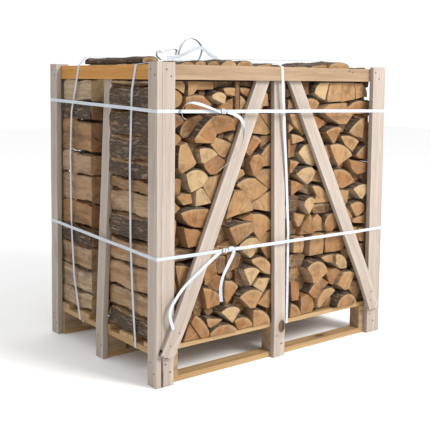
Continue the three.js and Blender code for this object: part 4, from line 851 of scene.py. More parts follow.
    [2, 18, 0, 908, 1116, 982, 1116, 975, 1036, 900, 1032, 890, 1046],
    [2, 15, 0, 986, 1116, 1050, 1116, 1066, 1085, 1064, 1044, 1010, 1036, 979, 1032],
    [2, 12, 10, 1110, 1116, 1148, 1058, 1072, 1043, 1070, 1086, 1056, 1116],
    [3, -4, 0, 1114, 1118, 1176, 1118, 1172, 1103, 1132, 1100],
    [3, 12, 24, 1018, 1012, 1172, 1022, 1172, 978, 1062, 978, 1012, 990],
    [2, 18, 0, 862, 1002, 900, 1024, 1006, 1029, 1014, 990, 1056, 984, 1010, 938, 965, 937, 890, 975],
    [3, -6, 0, 1060, 974, 1172, 974, 1172, 948, 1128, 945, 1122, 964, 1090, 962],
]
behind_post = [
    [3, -25, 0, 570, 208, 598, 286, 640, 292, 680, 270, 676, 210, 640, 208],
    [2, -30, 0, 576, 330, 590, 290, 640, 298, 684, 296, 686, 344, 610, 346],
    [3, -25, 0, 568, 345, 596, 398, 680, 404, 684, 350],
    [2, -20, 0, 597, 404, 597, 474, 640, 480, 684, 470, 684, 410],
    [3, -30, 0, 594, 516, 598, 550, 640, 556, 684, 540, 682, 480, 600, 482],
    [2, -20, 0, 597, 558, 597, 624, 650, 630, 685, 600, 685, 552],
    [3, -25, 0, 597, 632, 597, 700, 640, 706, 683, 690, 684, 640],
    [2, -20, 0, 597, 706, 597, 786, 630, 792, 680, 770, 680, 710],
    [3, -25, 0, 597, 792, 597, 868, 650, 874, 679, 850, 679, 782],
    [2, -20, 0, 597, 876, 597, 948, 640, 954, 680, 930, 679, 880],
    [3, -25, 0, 597, 956, 597, 1034, 640, 1040, 677, 1020, 680, 960],
    [2, -20, 0, 597, 1042, 597, 1117, 677, 1117, 677, 1044],
]
top_course = [
    [2, 0, 5, 46, 1166, 138, 1170, 138, 1121, 46, 1121],
    [3, 0, 12, 142, 1178, 214, 1182, 216, 1121, 140, 1121],
    [2, -6, 6, 218, 1188, 270, 1192, 268, 1121, 218, 1121],
    [4, -4, 8, 274, 1186, 330, 1193, 332, 1121, 272, 1121],
    [1, 4, 14, 336, 1186, 410, 1188, 408, 1121, 334, 1121],
    [2, 6, 18, 414, 1184, 503, 1184, 500, 1121, 411, 1121],
    [2, 0, 5, 508, 1180, 600, 1184, 602, 1121, 504, 1121],
    [2, -2, 4, 606, 1178, 682, 1180, 684, 1121, 604, 1121],
    [1, 0, 5, 688, 1176, 796, 1182, 800, 1121, 686, 1121],
    [3, 0, 6, 802, 1180, 910, 1193, 912, 1121, 802, 1121],
    [2, 6, 14, 914, 1192, 1040, 1192, 1046, 1150, 1034, 1121, 914, 1121],
    [2, 0, 5, 1052, 1172, 1154, 1174, 1154, 1124, 1046, 1121],
]
far_column = [
    [1, -2, 0, 1172, 1026, 1172, 1117, 1092, 1117, 1084, 1070, 1092, 1028],
    [4, -6, 8, 1172, 954, 1172, 1020, 1110, 1022, 1080, 985, 1100, 952],
    [3, 0, 0, 1172, 818, 1172, 946, 1106, 940, 1078, 880, 1100, 820],
    [2, -4, 0, 1174, 726, 1174, 811, 1110, 806, 1084, 760, 1110, 728],
    [2, -2, 0, 1170, 606, 1172, 718, 1112, 716, 1086, 660, 1108, 604],
    [3, -6, 0, 1172, 502, 1172, 600, 1104, 596, 1084, 548, 1102, 500],
    [4, -4, 7, 1170, 424, 1170, 494, 1120, 498, 1078, 462, 1112, 422],
    [2, -2, 0, 1173, 325, 1173, 418, 1106, 414, 1082, 370, 1104, 326],
    [1, -5, 0, 1170, 225, 1172, 318, 1108, 320, 1080, 270, 1102, 226],
    [1, -3, 0, 1173, 146, 1173, 218, 1112, 220, 1078, 180, 1098, 146],
]


def end_outline(bulge, numbers, spacing):
    """The outline of one end, its bark side drawn as an arc, as points no further apart than `spacing`,
    with True for each point whose edge to the next one is bark."""
    corners = [(numbers[i], numbers[i + 1]) for i in range(0, len(numbers), 2)]
    rim = []
    for i, (a, b) in enumerate(zip(corners, corners[1:] + corners[:1])):
        width = math.dist(a, b)
        steps = max(1, round(width / spacing))
        on_arc = i == 0 and bulge > 0
        if on_arc:
            middle = [sum(c[k] for c in corners) / len(corners) for k in (0, 1)]
            ux, uz = (b[0] - a[0]) / width, (b[1] - a[1]) / width
            nx, nz = -uz, ux
            outward = nz if len(corners) == 2 else (a[0] - middle[0]) * nx + (a[1] - middle[1]) * nz
            if outward < 0:
                nx, nz = -nx, -nz
            radius = (width * width / 4 + bulge * bulge) / (2 * bulge)
            sweep = math.asin(min(1.0, width / 2 / radius))
            if bulge > width / 2:
                sweep = math.pi - sweep
            steps = max(6, round(2 * sweep * radius / spacing))
            cx = (a[0] + b[0]) / 2 + nx * (bulge - radius)
            cz = (a[1] + b[1]) / 2 + nz * (bulge - radius)
        for k in range(steps):
            if on_arc:
                t = sweep * (2 * k / steps - 1)
                rim.append((cx + radius * (ux * math.sin(t) + nx * math.cos(t)),
                            cz + radius * (uz * math.sin(t) + nz * math.cos(t)), True))
            else:
                rim.append((a[0] + (b[0] - a[0]) * k / steps, a[1] + (b[1] - a[1]) * k / steps, False))
    area = sum(p[0] * q[1] - q[0] * p[1] for p, q in zip(rim, rim[1:] + rim[:1])) / 2
    if area < 0:
        rim = [(p[0], p[1], rim[i - 1][2]) for i, p in enumerate(rim)][::-1]
    return rim, abs(area)


def split_end(row, spacing=14.0):
    tone, out, bulge, *numbers = row
    rim, area = end_outline(bulge, numbers, spacing)
    return {"tone": tone, "out": out, "bulge": bulge, "rim": rim, "area": area, "corners": numbers}


def oak_end_grain():
    """The sawn ends: rings round the heart, rays and drying cracks across them, a dark rim of bark."""
    f = Finish("oak end grain")
    heart = f.read("heart")
    dx, dz, _ = f.split(heart)
    tone, own, rim = f.split(f.read("billet"))
    flat = f.scaled(heart, 1.0, 1.0, 0.0)
    seed = f.node("ShaderNodeCombineXYZ", {}, {"X": own * 17.0, "Y": own * 5.0, "Z": own * 31.0})
    cloudy = f.clouds(f.shifted(f.scaled(flat, 9.0, 9.0, 1.0), seed), 1.0, 4.0, 0.6)
    blotch = f.clouds(f.shifted(f.scaled(flat, 26.0, 26.0, 1.0), seed), 1.0, 5.0, 0.65)
    reach = (dx * dx + dz * dz).math("SQRT") + cloudy * 0.010
    rings = (reach * (2 * math.pi / 0.0046)).math("SINE") * 0.5 + 0.5
    angle = dz.math("ARCTAN2", dx)
    fan = f.node("ShaderNodeCombineXYZ", {}, {"X": angle * 16.0, "Y": reach * 7.0, "Z": own * 40.0})
    rays = f.clouds(fan, 1.0, 3.0, 0.7)
    wide_fan = f.node("ShaderNodeCombineXYZ", {}, {"X": angle * 3.6, "Y": reach * 6.0, "Z": own * 23.0})
    crack = f.between(f.clouds(wide_fan, 1.0, 3.0, 0.55, 0.9), 0.70, 0.76, 0.0, 0.8)
    # The darkest stop, which tone 4 takes, is dark wood with painted shade for ends that lie in shadow
    ramp = f.node("ShaderNodeValToRGB", {"stops": (
        (0.0, (0.410, 0.274, 0.136)), (0.34, (0.297, 0.159, 0.061)), (0.67, (0.235, 0.097, 0.025)),
        (1.0, (0.081, 0.040, 0.014)))}, {"Fac": tone + (own - 0.5) * 0.16 + (cloudy - 0.5) * 0.22})
    colour = f.blended(rings * 0.34, ramp, f.blended(0.5, ramp, (0.087, 0.038, 0.012)))
    pale_ray = f.blended(0.55, ramp, (0.440, 0.310, 0.171))
    colour = f.blended(f.between(rays, 0.48, 0.66, 0.0, 0.62), colour, pale_ray)
    dark_patch = f.blended(0.6, ramp, (0.051, 0.022, 0.008))
    colour = f.blended(f.between(blotch, 0.46, 0.66, 0.0, 0.68), colour, dark_patch)
    # The cracks are painted shade: near black where the end opens
    colour = f.blended(crack, colour, (0.010, 0.005, 0.002))
    grey = f.clouds(f.shifted(f.scaled(flat, 14.0, 14.0, 1.0), seed), 1.0, 6.0, 0.7)
    colour = f.blended(f.between(grey, 0.47, 0.64, 0.0, 0.40), colour, (0.197, 0.141, 0.088))
    # Sapwood is paler under the bark, which shows as a dark rim
    colour = f.blended(f.between(rim, 0.007, 0.020, 0.40, 0.0), colour, (0.379, 0.257, 0.129))
    bark_rim = f.between(rim + cloudy * 0.003, 0.0042, 0.0072, 1.0, 0.0)
    colour = f.blended(bark_rim, colour, (0.029, 0.015, 0.008))
    saw = (dx * (2 * math.pi / 0.0034) + cloudy * 22.0).math("SINE") * 0.5 + 0.5
    height = rings * 0.30 + rays * 0.25 + saw * 0.25 + blotch * 0.5 - crack * 1.6
    return f.done(colour, f.between(blotch, 0.3, 0.8, 0.78, 0.93), height, 0.0012)


def split_oak():
    """The faces that the axe left: long torn fibres, pale to orange, with darker streaks along them."""
    f = Finish("split oak")
    run = f.read("run")
    along, around, _ = f.split(run)
    tone, own, _ = f.split(f.read("billet"))
    coarse = f.clouds(f.scaled(run, 2.6, 26.0, 1.0), 1.0, 5.0, 0.62)
    fine = f.clouds(f.scaled(run, 9.0, 230.0, 1.0), 1.0, 4.0, 0.6)
    ripple = f.clouds(f.scaled(run, 22.0, 34.0, 1.0), 1.0, 3.0, 0.5)
    # The darkest stop, which tone 4 takes, is dark wood with painted shade for billets that lie in shadow
    ramp = f.node("ShaderNodeValToRGB", {"stops": (
        (0.0, (0.388, 0.288, 0.184)), (0.34, (0.301, 0.189, 0.102)), (0.67, (0.267, 0.140, 0.053)),
        (1.0, (0.116, 0.068, 0.035)))}, {"Fac": tone + (own - 0.5) * 0.2 + (coarse - 0.5) * 0.5})
    colour = f.blended(f.between(coarse, 0.48, 0.72, 0.0, 0.62), ramp, (0.121, 0.056, 0.021))
    colour = f.blended(f.between(fine, 0.46, 0.74, 0.0, 0.5), colour, (0.097, 0.047, 0.021))
    colour = f.blended(f.between(ripple, 0.56, 0.74, 0.0, 0.35), colour, (0.398, 0.306, 0.205))
    # Painted shade: the hollows that the bump sinks are darkened
    hollow_shade = f.clouds(f.scaled(run, 6.0, 14.0, 1.0), 1.0, 5.0, 0.65)
    colour = f.blended(f.between(hollow_shade, 0.50, 0.66, 0.0, 0.55), colour, (0.075, 0.046, 0.027))
    height = fine * 0.6 + coarse * 0.9 + ripple * 0.35 - hollow_shade * 0.8
    return f.done(colour, f.between(coarse, 0.3, 0.8, 0.7, 0.88), height, 0.0022)


def oak_bark():
    """Bark: grey-brown plates, dark furrows along the billet that are partly painted shade, paler lichen."""
    f = Finish("oak bark")
    run = f.read("run")
    stray = f.node("ShaderNodeTexNoise", {}, {"Vector": f.scaled(run, 16.0, 44.0, 1.0), "Scale": 1.0,
                                              "Detail": 4.0, "Roughness": 0.6}, 1)
    bent = f.shifted(f.scaled(run, 12.0, 70.0, 1.0), f.scaled(stray, 2.6, 2.8, 0.0))
    plates = f.node("ShaderNodeTexVoronoi", {"feature": "DISTANCE_TO_EDGE"},
                    {"Vector": bent, "Scale": 1.0, "Randomness": 1.0}, "Distance")
    scales = f.clouds(f.scaled(run, 75.0, 200.0, 1.0), 1.0, 6.0, 0.75)
    broad = f.clouds(f.scaled(run, 7.0, 16.0, 1.0), 1.0, 3.0)
    furrow = f.between(plates + (scales - 0.5) * 0.45, 0.02, 0.36, 1.0, 0.0)
    colour = f.blended(f.between(scales, 0.35, 0.68), (0.131, 0.077, 0.046), (0.275, 0.183, 0.114))
    colour = f.blended(f.between(broad, 0.50, 0.66, 0.0, 0.6), colour, (0.262, 0.193, 0.134))
    colour = f.blended(f.between(broad, 0.30, 0.44, 0.55, 0.0), colour, (0.131, 0.057, 0.024))
    # The furrows' near black is the bark's own dark and painted shade together
    colour = f.blended(furrow * 0.88, colour, (0.032, 0.018, 0.009))
    height = (1 - furrow) * 1.0 + scales * 0.45
    return f.done(colour, f.between(scales, 0.3, 0.7, 0.82, 0.95), height, 0.0045)


wood_finishes = (oak_end_grain(), split_oak(), oak_bark())
# Tone 4 is dark wood with painted shade, for ends that lie back in shadow
TONES = {1: 0.06, 2: 0.36, 3: 0.66, 4: 0.93}


# Billets show apart in the strip along the row's sides; elsewhere, out of sight, they swell and meet
OUTER_STRIP = 60.0
UNDER_TOPS = 1150.0
SWELLING = 5.0
SWELLING_RUN = 70.0
# At the right end of the front row they swell more, and the back row's also close at their outer ends
NEAR_RIGHT = 130.0
MORE_AT_RIGHT, MORE_AT_BACK = 2.2, 1.4
BACK_RUN = 110.0
# The saw breaks each end's arris over this length
BROKEN_ARRIS = 1.4


def rounded(rim, times):
    """An outline with its corners worn round."""
    for _ in range(times):
        rim = [(p[0] * 0.5 + (o[0] + q[0]) * 0.25, p[1] * 0.5 + (o[1] + q[1]) * 0.25, p[2])
               for o, p, q in zip(rim[-1:] + rim[:-1], rim, rim[1:] + rim[:1])]
    return rim


class Stack:
    """Gathers the faces of many billets into one piece."""

    def __init__(self):
        self.corners, self.faces, self.kinds, self.smooth = [], [], [], []
        self.heart, self.billet, self.run = [], [], []

    def put(self, end, start, stop, turned=False, stations=4, relief=0.0, rounding=1):
        """Adds the billet behind one end, from `start` to `stop`, in millimetres. `relief` is how deep its
        sides are torn and furrowed, `rounding` how often its outline is smoothed."""
        rim = rounded(end["rim"], rounding)
        count = len(rim)
        own = random.random()
        seed = Vector((own * 50, own * 80, own * 30))
        cx = sum(p[0] for p in rim) / count
        cz = sum(p[1] for p in rim) / count
        bark_points = [(p[0], p[1]) for p in rim if p[2]]
        heart = self.heart_of(end, cx, cz)
        tone = TONES[end["tone"]]
        tilt = (random.uniform(-0.02, 0.02), random.uniform(-0.02, 0.02))
        at_right = not turned and cx > LENGTH - NEAR_RIGHT

        def corner(x, y, z, from_bark):
            if turned:
                x, y = LENGTH - x, WIDTH - y
            self.corners.append(placed(x, y, z))
            side = -1.0 if turned else 1.0
            self.heart += [(x - (LENGTH - heart[0] if turned else heart[0])) / 1000 * side,
                           (z - heart[1]) / 1000, own]
            self.billet += [tone, own, from_bark / 1000]
            return len(self.corners) - 1

        def off_bark(x, z):
            return min((math.dist((x, z), p) for p in bark_points), default=90.0)

        arounds = [0.0]
        for p, q in zip(rim, rim[1:] + rim[:1]):
            arounds.append(arounds[-1] + math.dist(p[:2], q[:2]))
        normals = []
        for i in range(count):
            ax, az = rim[i - 1][:2]
            bx, bz = rim[(i + 1) % count][:2]
            span = math.hypot(bx - ax, bz - az) or 1.0
            normals.append(((bz - az) / span, -(bx - ax) / span))
        # Rings round the billet: a broken arris, then stations along it, and the same at the far end
        places = [start, start + BROKEN_ARRIS]
        places += [start + (stop - start) * k / (stations - 1) for k in range(1, stations - 1)]
        places += [stop - BROKEN_ARRIS, stop]
        rings = []
        for n, y in enumerate(places):
            shrink = 1.2 if n in (0, len(places) - 1) else 0.3
            reach = min(1.0, (y - start) / 50.0)
            bend = [1.5 * reach * noise.noise(Vector((y * 0.009, 4.0 * axis, 0.0)) + seed) for axis in (1, 2)]
            ring = []
            for i, (x, z, bark) in enumerate(rim):
                barky = bark or rim[i - 1][2]
                nx, nz = normals[i]
                place = Vector((x * 0.05, y * (0.020 if barky else 0.011), z * 0.05)) + seed
                bow = Vector((x * 0.012, y * 0.0065, z * 0.012)) + seed
                torn = abs(noise.noise(place * 1.6)) * 0.8 + abs(noise.noise(place * 3.9)) * 0.5
                inwards = shrink + relief * (torn + 0.9 * max(0.0, noise.noise(bow) + 0.25))
                # No light comes through the row
                if min(x, LENGTH - x) > OUTER_STRIP and z < UNDER_TOPS:
                    more = MORE_AT_RIGHT if at_right else 1.0
                    inwards -= SWELLING * more * min(1.0, (y - start) / SWELLING_RUN)
                flat_y = y + ((x - cx) * tilt[0] + (z - cz) * tilt[1] + 1.2 if n in (0, 1) else 0.0)
                px, pz = x - nx * inwards, z - nz * inwards + bend[1] * relief
                if min(x, LENGTH - x) < OUTER_STRIP:
                    px += (1 if x < LENGTH / 2 else -1) * abs(bend[0]) * relief
                    if turned and y - start < BACK_RUN or at_right:
                        pz += nz * SWELLING * (MORE_AT_RIGHT if at_right else MORE_AT_BACK)
                ring.append(corner(px, flat_y, pz, 0.0 if barky else off_bark(x, z)))
            rings.append(ring)
        for n, (lower, upper) in enumerate(zip(rings, rings[1:])):
            for i in range(count):
                j = (i + 1) % count
                self.faces.append((upper[i], upper[j], lower[j], lower[i]))
                self.kinds.append(2 if rim[i][2] else 1)
                self.smooth.append(rim[i][2])
                for k, around in ((n + 1, i), (n + 1, i + 1), (n, i + 1), (n, i)):
                    self.run += [places[k] / 1000 + own * 7.0, arounds[around] / 1000 + own * 3.0, own]
        for ring, outward in ((rings[0], -1.0), (rings[-1], 1.0)):
            self.cap(ring, rim, (cx, cz), outward, corner, off_bark, seed)

    def heart_of(self, end, cx, cz):
        """Where the tree's heart was: behind the bark, at the depth that its curve gives."""
        rim = end["rim"]
        bark = [p for p in rim if p[2]]
        if not bark:
            return (cx + random.uniform(-70, 70), cz + random.uniform(-70, 70))
        bx = sum(p[0] for p in bark) / len(bark)
        bz = sum(p[1] for p in bark) / len(bark)
        reach = max(1.0, math.hypot(cx - bx, cz - bz))
        deep = random.uniform(80, 120)
        return (bx + (cx - bx) / reach * deep, bz + (cz - bz) / reach * deep)

    def cap(self, ring, rim, centre, outward, corner, off_bark, seed):
        """Closes an end with rings that step in to its middle, a little uneven from the saw."""
        count = len(ring)
        depth = [self.corners[i].y for i in ring]
        level = sum(depth) / count
        before = ring
        for share in (0.93, 0.80, 0.5):
            inner = []
            for i, (x, z, _) in enumerate(rim):
                px, pz = centre[0] + (x - centre[0]) * share, centre[1] + (z - centre[1]) * share
                made = corner(px, 0.0, pz, off_bark(px, pz))
                bump = noise.noise(Vector((px * 0.05, pz * 0.05, 0.0)) + seed) * 0.0007
                self.corners[made].y = level + (depth[i] - level) * share + bump
                inner.append(made)
            for i in range(count):
                j = (i + 1) % count
                self.add_flat((before[i], before[j], inner[j], inner[i]), outward)
            before = inner
        tip = corner(centre[0], 0.0, centre[1], off_bark(*centre))
        self.corners[tip].y = level
        for i in range(count):
            self.add_flat((before[i], before[(i + 1) % count], tip), outward)

    def add_flat(self, face, outward):
        self.faces.append(face if outward < 0 else face[::-1])
        self.kinds.append(0)
        self.smooth.append(False)
        self.run += [0.0] * (3 * len(face))

    def made(self, name, replaced, slot="oak_billets"):
        mesh = bpy.data.meshes.new(name)
        mesh.from_pydata(self.corners, [], self.faces)
        for finish in wood_finishes:
            mesh.materials.append(finish)
        mesh.polygons.foreach_set("material_index", self.kinds)
        mesh.polygons.foreach_set("use_smooth", self.smooth)
        for key, values in (("heart", self.heart), ("billet", self.billet)):
            mesh.attributes.new(key, "FLOAT_VECTOR", "POINT").data.foreach_set("vector", values)
        mesh.attributes.new("run", "FLOAT_VECTOR", "CORNER").data.foreach_set("vector", self.run)
        mesh.update()
        piece = bpy.data.objects.new(name, mesh)
        bpy.context.scene.collection.objects.link(piece)
        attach(piece, "root")
        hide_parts(replaced)
        return piece


POST_FOOT, POST_TOP_PLACE = 567.0, 588.0
POST_TOP = 1172.0
POST_BACK, POST_LEAN = 22.5, 0.0459
UNDER_RAIL = 1121.0
DECK_TOP = 142.0
PLANK_BACK = 23.0
PLANK_REACH = 80.0
RAIL_BACK = 45.0
BAND_BACK = 24.0
HALF_DIAGONAL = 35.0
ROW_SET_BACK, ROW_LEAN = 26.0, 0.042


def behind_frame(end, band):
    """The depth from which a billet is clear of the frame's boards and of the upright band."""
    xs = [p[0] for p in end["rim"]]
    zs = [p[1] for p in end["rim"]]
    low, high, top = min(xs), max(xs), max(zs)
    depth = 0.0
    if low < PLANK_REACH or high > LENGTH - PLANK_REACH:
        depth = PLANK_BACK
    if top > UNDER_RAIL:
        depth = RAIL_BACK
    if high > band[0] and low < band[1]:
        depth = max(depth, BAND_BACK)
    if high > POST_FOOT - 2 and low < POST_TOP_PLACE + 60:
        depth = max(depth, POST_BACK + (min(top, POST_TOP) - DECK_TOP) * POST_LEAN)
    for foot, crest in ((34.2, 548.2), (1148.9, 683.9)):
        lean = (crest - foot) / (DIAGONAL_TOP - DIAGONAL_FOOT)
        crossing = [foot + (min(z, DIAGONAL_TOP) - DIAGONAL_FOOT) * lean for z in (min(zs), top)]
        if high > min(crossing) - HALF_DIAGONAL and low < max(crossing) + HALF_DIAGONAL:
            depth = max(depth, diagonal_back(min(top, DIAGONAL_TOP)) + 1.0)
    return depth


def face_depth(end):
    """The rows lean back a little as they rise, and each end stands out or back from that."""
    zs = [p[1] for p in end["rim"]]
    return ROW_SET_BACK + ((min(zs) + max(zs)) / 2 - DECK_TOP) * ROW_LEAN - end["out"]


def within(end, low, high, ceiling=UNDER_RAIL - 1):
    """The end kept between two places along the row, above the deck and under the rail."""
    top = max(p[1] for p in end["rim"]) > UNDER_RAIL
    end["rim"] = [(min(max(x, low), high), min(max(z, 142.5), 1209 if top else ceiling), bark)
                  for x, z, bark in end["rim"]]
    return end


def off_outline(rim, x, z):
    """How far a point is from an outline, negative inside it."""
    best, inside = 1e9, False
    for (ax, az, _), (bx, bz, _) in zip(rim, rim[1:] + rim[:1]):
        dx, dz = bx - ax, bz - az
        t = min(1.0, max(0.0, ((x - ax) * dx + (z - az) * dz) / max(dx * dx + dz * dz, 1e-9)))
        best = min(best, math.hypot(ax + t * dx - x, az + t * dz - z))
        if (az > z) != (bz > z) and x < ax + (z - az) * dx / (bz - az):
            inside = not inside
    return -best if inside else best


def filling_ends(ends, smallest):
    """Small billets, set deeper, wherever the others leave room for one; half are dark with painted shade."""
    places = []
    boxes = [(min(p[0] for p in e["rim"]), max(p[0] for p in e["rim"]),
              min(p[1] for p in e["rim"]), max(p[1] for p in e["rim"])) for e in ends]
    for z in range(152, 1116, 7):
        for x in range(40, 1162, 7):
            room = 42.0
            for end, (x0, x1, z0, z1) in zip(ends, boxes):
                if x0 - room < x < x1 + room and z0 - room < z < z1 + room:
                    room = min(room, off_outline(end["rim"], x, z))
                    if room <= smallest:
                        break
            if room > smallest:
                places.append((room, x, z))
    places.sort(reverse=True)
    taken = []
    for room, x, z in places:
        if all(math.dist((x, z), t[1:]) > t[0] + room * 0.8 for t in taken):
            taken.append((room, x, z))
    made = []
    for room, x, z in taken:
        sides = random.choice((4, 5, 5, 6))
        turn = random.uniform(0, math.pi)
        numbers = []
        for i in range(sides):
            angle = turn + i * 2 * math.pi / sides
            reach = room * random.uniform(1.10, 1.32)
            numbers += [x + math.cos(angle) * reach, z + math.sin(angle) * reach]
        # Half of them take tone 4, painted shade in the gaps between the billets
        made.append(split_end([random.choice((2, 3, 4, 4)), -22 - random.uniform(0, 14), 0, *numbers]))
    return made


FRONT_INNER = 384.0
BACK_INNER = 311.0
BAND_ON_FRONT = (600.0, 664.0)
BAND_ON_BACK = (536.0, 600.0)


def at_side(end):
    xs = [p[0] for p in end["rim"]]
    return min(xs) < OUTER_STRIP or max(xs) > LENGTH - OUTER_STRIP


def stack_row(prefix, replaced, sets, inner, band, turned):
    """Makes the pieces of one row, a piece for each named set of ends."""
    for name, (ends, stations, relief, rounding) in sets.items():
        stack = Stack()
        for end in ends:
            start = max(face_depth(end), behind_frame(end, band) + 1.5)
            sideways = relief == 0.0 and at_side(end)
            stack.put(end, start, inner - random.uniform(0, 1.5), turned, 26 if sideways else stations,
                      5.0 if sideways else relief, rounding)
        stack.made(f"{prefix}_{name}", replaced)


side_ends = [within(split_end(row, 8.0), 22.8, 1177) for row in near_column]
face_ends = [within(split_end(row), 28, 1177) for row in face + behind_post]
top_ends = [within(split_end(row, 9.0), 45.5, 1154.5) for row in top_course]
small_ends = filling_ends(side_ends + face_ends + top_ends, 14.0)
for end in small_ends:
    within(end, 30, 1170)
stack_row("front", "log_row_front", {
    "column": (side_ends, 40, 8.5, 2),
    "billets": (face_ends + small_ends, 6, 0.0, 0),
    "tops": (top_ends, 30, 4.0, 1)}, FRONT_INNER, BAND_ON_FRONT, False)


def mirrored(row, change):
    """The same end seen the other way round, with another colour."""
    tone, out, bulge, *numbers = row
    numbers[0::2] = [LENGTH - x for x in numbers[0::2]]
    return [(tone + change) % 4 + 1 if random.random() < 0.5 else tone, out, bulge, *numbers]


# The back row's ends lie the other way round; only its left column and its tops are seen in front
back_face = [within(split_end(mirrored(row, i)), 28, 1092) for i, row in enumerate(face + behind_post)]
back_column = [within(split_end(row, 8.0), 1070, 1177.2) for row in far_column]
back_tops = [within(split_end(mirrored(row, i), 9.0), 45.5, 1154.5) for i, row in enumerate(top_course)]
back_small = filling_ends(back_face + back_column + back_tops, 14.0)
for end in back_small:
    within(end, 30, 1170)
stack_row("back", "log_row_back", {
    "column": (back_column, 36, 8.5, 2),
    "billets": (back_face + back_small, 6, 0.0, 0),
    "tops": (back_tops, 28, 4.0, 1)}, BACK_INNER, BAND_ON_BACK, True)

# One billet with its bark on lies across the tops, along the left side
crown = split_end([4, 0, 0, 56.5, 1181.3, 133.5, 1181.3, 133.5, 1198, 126, 1204, 114, 1208.6, 95, 1209.6,
                   76, 1209.2, 62, 1203, 56.5, 1198], 7.0)
crown["rim"] = [(x, z, z > 1181.6) for x, z, _ in crown["rim"]]
crown_stack = Stack()
crown_stack.put(crown, 191.0, 641.0, False, 52, 2.6, 1)
crown_stack.made("bark_billet_on_top", "top_bark_log", "bark_billet")


# The tight bands
# The same woven band as the loose ends: two level bands round the planks and over the diagonals, and
# three upright ones over the tops and under the pallet's boards. They follow what they are pulled over.
def pulled_band(name, corners, across, node):
    """A closed band along the given corners, each turned on a small radius; `across` gives its width's
    direction at a point."""
    line, count = [], len(corners)
    for i, corner in enumerate(corners):
        before, after = corners[i - 1], corners[(i + 1) % count]
        entry, leave = (before - corner).normalized(), (after - corner).normalized()
        radius = 0.0022
        bent = [corner + entry * radius, corner.lerp(corner + (entry + leave) * radius * 0.5, 0.5),
                corner + leave * radius]
        line += bent
        reach = (after - corner).length - 2 * radius
        steps = max(1, int(reach / 0.028))
        away = leave
        for k in range(1, steps):
            line.append(corner + away * (radius + reach * k / steps))
    shift = Vector((random.uniform(-9, 9), 0.0, random.uniform(-9, 9)))
    acrosses = [across(p) for p in line]
    uneven = [p + side * (0.0011 * noise.noise(p * 7.0 + shift)) for p, side in zip(line, acrosses)]
    piece = band_mesh(name, uneven, acrosses, closed=True)
    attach(piece, "root")
    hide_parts(node)


BAND_OUT = 0.6
for name, height, along_x, along_y in (("upper", 1009.0, -16.0, 22.0), ("lower", 478.0, -7.0, 25.0)):
    proud = max(BAND_OUT, DIAGONAL_THICK - diagonal_back(height - 20.0) + BAND_OUT)
    loop = []
    for x, y in ((-BAND_OUT, -BAND_OUT), (180, -proud), (1020, -proud), (LENGTH + BAND_OUT, -BAND_OUT),
                 (LENGTH + BAND_OUT, WIDTH + BAND_OUT), (1020, WIDTH + proud), (180, WIDTH + proud),
                 (-BAND_OUT, WIDTH + BAND_OUT)):
        loop.append(placed(x, y, height + x / LENGTH * along_x + y / WIDTH * along_y))
    pulled_band("level_band_" + name, loop, lambda p: Vector((0.0, 0.0, 1.0)), "band_level_" + name)


def value_at(pairs, z):
    """The value that a list of falling (height, value) pairs gives at a height."""
    for (z0, v0), (z1, v1) in zip(pairs, pairs[1:]):
        if z1 <= z <= z0:
            return v0 + (z - z0) / (z1 - z0) * (v1 - v0)
    return pairs[0][1] if z > pairs[0][0] else pairs[-1][1]


# (height, place along the side) from the rail down; then what the band passes over, and what under
UPRIGHT = {
    "front": (((1176, 608), (845, 632), (507, 655), (124, 655)), WIDTH, 123.7, ((58, 1190), (788, 1190))),
    "near": (((1176, 177), (1080, 205), (795, 219), (501, 213), (325, 201), (101, 177)), LENGTH, 101.7,
             ((58, 1181), (178, 1195), (373, 1204), (977, 1209), (1152, 1184))),
    "far": (((1176, 622), (985, 689), (796, 702), (515, 696), (283, 674), (101, 620)), LENGTH, 101.7,
            ((54, 1212), (136, 1212), (742, 1205), (827, 1203), (1022, 1195), (1152, 1181))),
}
for name, (path, span, bottom, over) in UPRIGHT.items():
    heights = [z for z, _ in path][1:-1]
    side, middle = 21.7, 0.5
    loop = [(side - middle, bottom - middle)]
    loop += [(side - 0.2 - middle, z) for z in reversed(heights)]
    loop += [(side - middle, 1176.3 + middle)] + [(u, z + middle) for u, z in over]
    loop += [(span - side + middle, 1176.3 + middle)]
    loop += [(span - side + 0.2 + middle, z) for z in heights]
    loop += [(span - side + middle, bottom - middle)]
    if name == "front":
        corners = [placed(value_at(path, z), u, z) for u, z in loop]
    else:
        corners = [placed(u, value_at(path, z), z) for u, z in loop]
    wide = Vector((1.0, 0.0, 0.0)) if name == "front" else Vector((0.0, 1.0, 0.0))
    pulled_band("upright_band_" + name, corners, lambda p, wide=wide: wide, "band_upright_" + name)


# The buckles
# Bent from 3 mm galvanised wire: an oblong ring with a bar across it, over which the band folds back.
def wire_finish():
    f = Finish("galvanised wire")
    f.coat.inputs["Metallic"].default_value = 0.85
    place = f.node("ShaderNodeTexCoord", {}, {}, "Object")
    spangle = f.clouds(place, 420.0, 3.0)
    colour = f.blended(f.between(spangle, 0.4, 0.65), (0.46, 0.47, 0.49), (0.26, 0.27, 0.28))
    return f.done(colour, f.between(spangle, 0.3, 0.7, 0.30, 0.48), spangle, 0.0002)


galvanised = wire_finish()


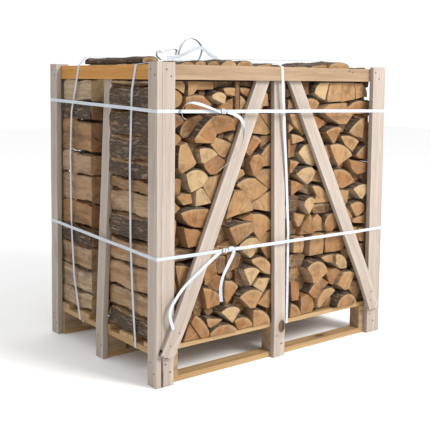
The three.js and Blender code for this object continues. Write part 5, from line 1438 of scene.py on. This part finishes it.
def wire_ring(points, radius, closed, sides=10):
    """The corners and faces of a round wire along some points."""
    corners, faces = [], []
    count = len(points)
    for i, p in enumerate(points):
        before = points[i - 1] if i or closed else p
        after = points[(i + 1) % count] if i < count - 1 or closed else p
        tangent = (after - before).normalized()
        aside = tangent.cross(Vector((0.0, 1.0, 0.0))).normalized()
        ahead = aside.cross(tangent)
        for k in range(sides):
            angle = 2 * math.pi * k / sides
            corners.append(p + aside * (math.cos(angle) * radius) + ahead * (math.sin(angle) * radius))
    for i in range(count if closed else count - 1):
        a, b = i * sides, ((i + 1) % count) * sides
        for k in range(sides):
            m = (k + 1) % sides
            faces.append((a + k, b + k, b + m, a + m))
    if not closed:
        faces.append(tuple(range(sides)))
        faces.append(tuple(range((count - 1) * sides, count * sides)))
    return corners, faces


WIRE_RADIUS = 1.6
for name, x, back, z in (("upper", 292.0, -1.7, 1005.0), ("lower", 303.0, -7.4, 477.0)):
    depth = (back - 13.0) / 2
    tilt = Matrix.Rotation(0.1, 3, "Y")
    oblong = []
    for qx, qz, start in ((1, 1, 0), (-1, 1, 90), (-1, -1, 180), (1, -1, 270)):
        for k in range(5):
            angle = math.radians(start + 22.5 * k)
            oblong.append((qx * 6.2 + math.cos(angle) * 4.0, qz * 4.2 + math.sin(angle) * 4.0))
    ring_points = [tilt @ Vector((a, 0.0, b)) for a, b in oblong]
    bars = [[tilt @ Vector((aside, 0.0, b)) for b in (-8.0, -4.0, 0.0, 4.0, 8.0)] for aside in (-1.8, 1.8)]
    corners, faces = [], []
    for points, closed in ((ring_points, True), (bars[0], False), (bars[1], False)):
        centred = [Vector((x, depth, z)) + p for p in points]
        more, shapes = wire_ring(centred, WIRE_RADIUS, closed)
        faces += [tuple(i + len(corners) for i in face) for face in shapes]
        corners += more
    mesh = bpy.data.meshes.new("wire_buckle_" + name)
    mesh.from_pydata([placed(*p) for p in corners], [], faces)
    turned_out(mesh)
    for flat in mesh.polygons:
        flat.use_smooth = True
    mesh.materials.append(galvanised)
    piece = bpy.data.objects.new("wire_buckle_" + name, mesh)
    bpy.context.scene.collection.objects.link(piece)
    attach(piece, "root")
    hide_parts("buckle_" + name)

    # The folds of band round the buckle's bars
    for first, last, bend in ((-11.0, -1.0, 0.6), (1.0, 11.0, -0.6)):
        line = []
        for k in range(9):
            share = k / 8
            u = first + (last - first) * share
            lift = 2.3 * math.sin(math.pi * share)
            p = tilt @ Vector((u, 0.0, 0.0))
            line.append(placed(x + p.x, depth - lift * 0.9, z + p.z + bend * share))
        fold = band_mesh(f"buckle_fold_{name}_{'left' if first < 0 else 'right'}", line,
                         [Vector((0.0, 0.0, 1.0))] * len(line))
        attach(fold, "root")
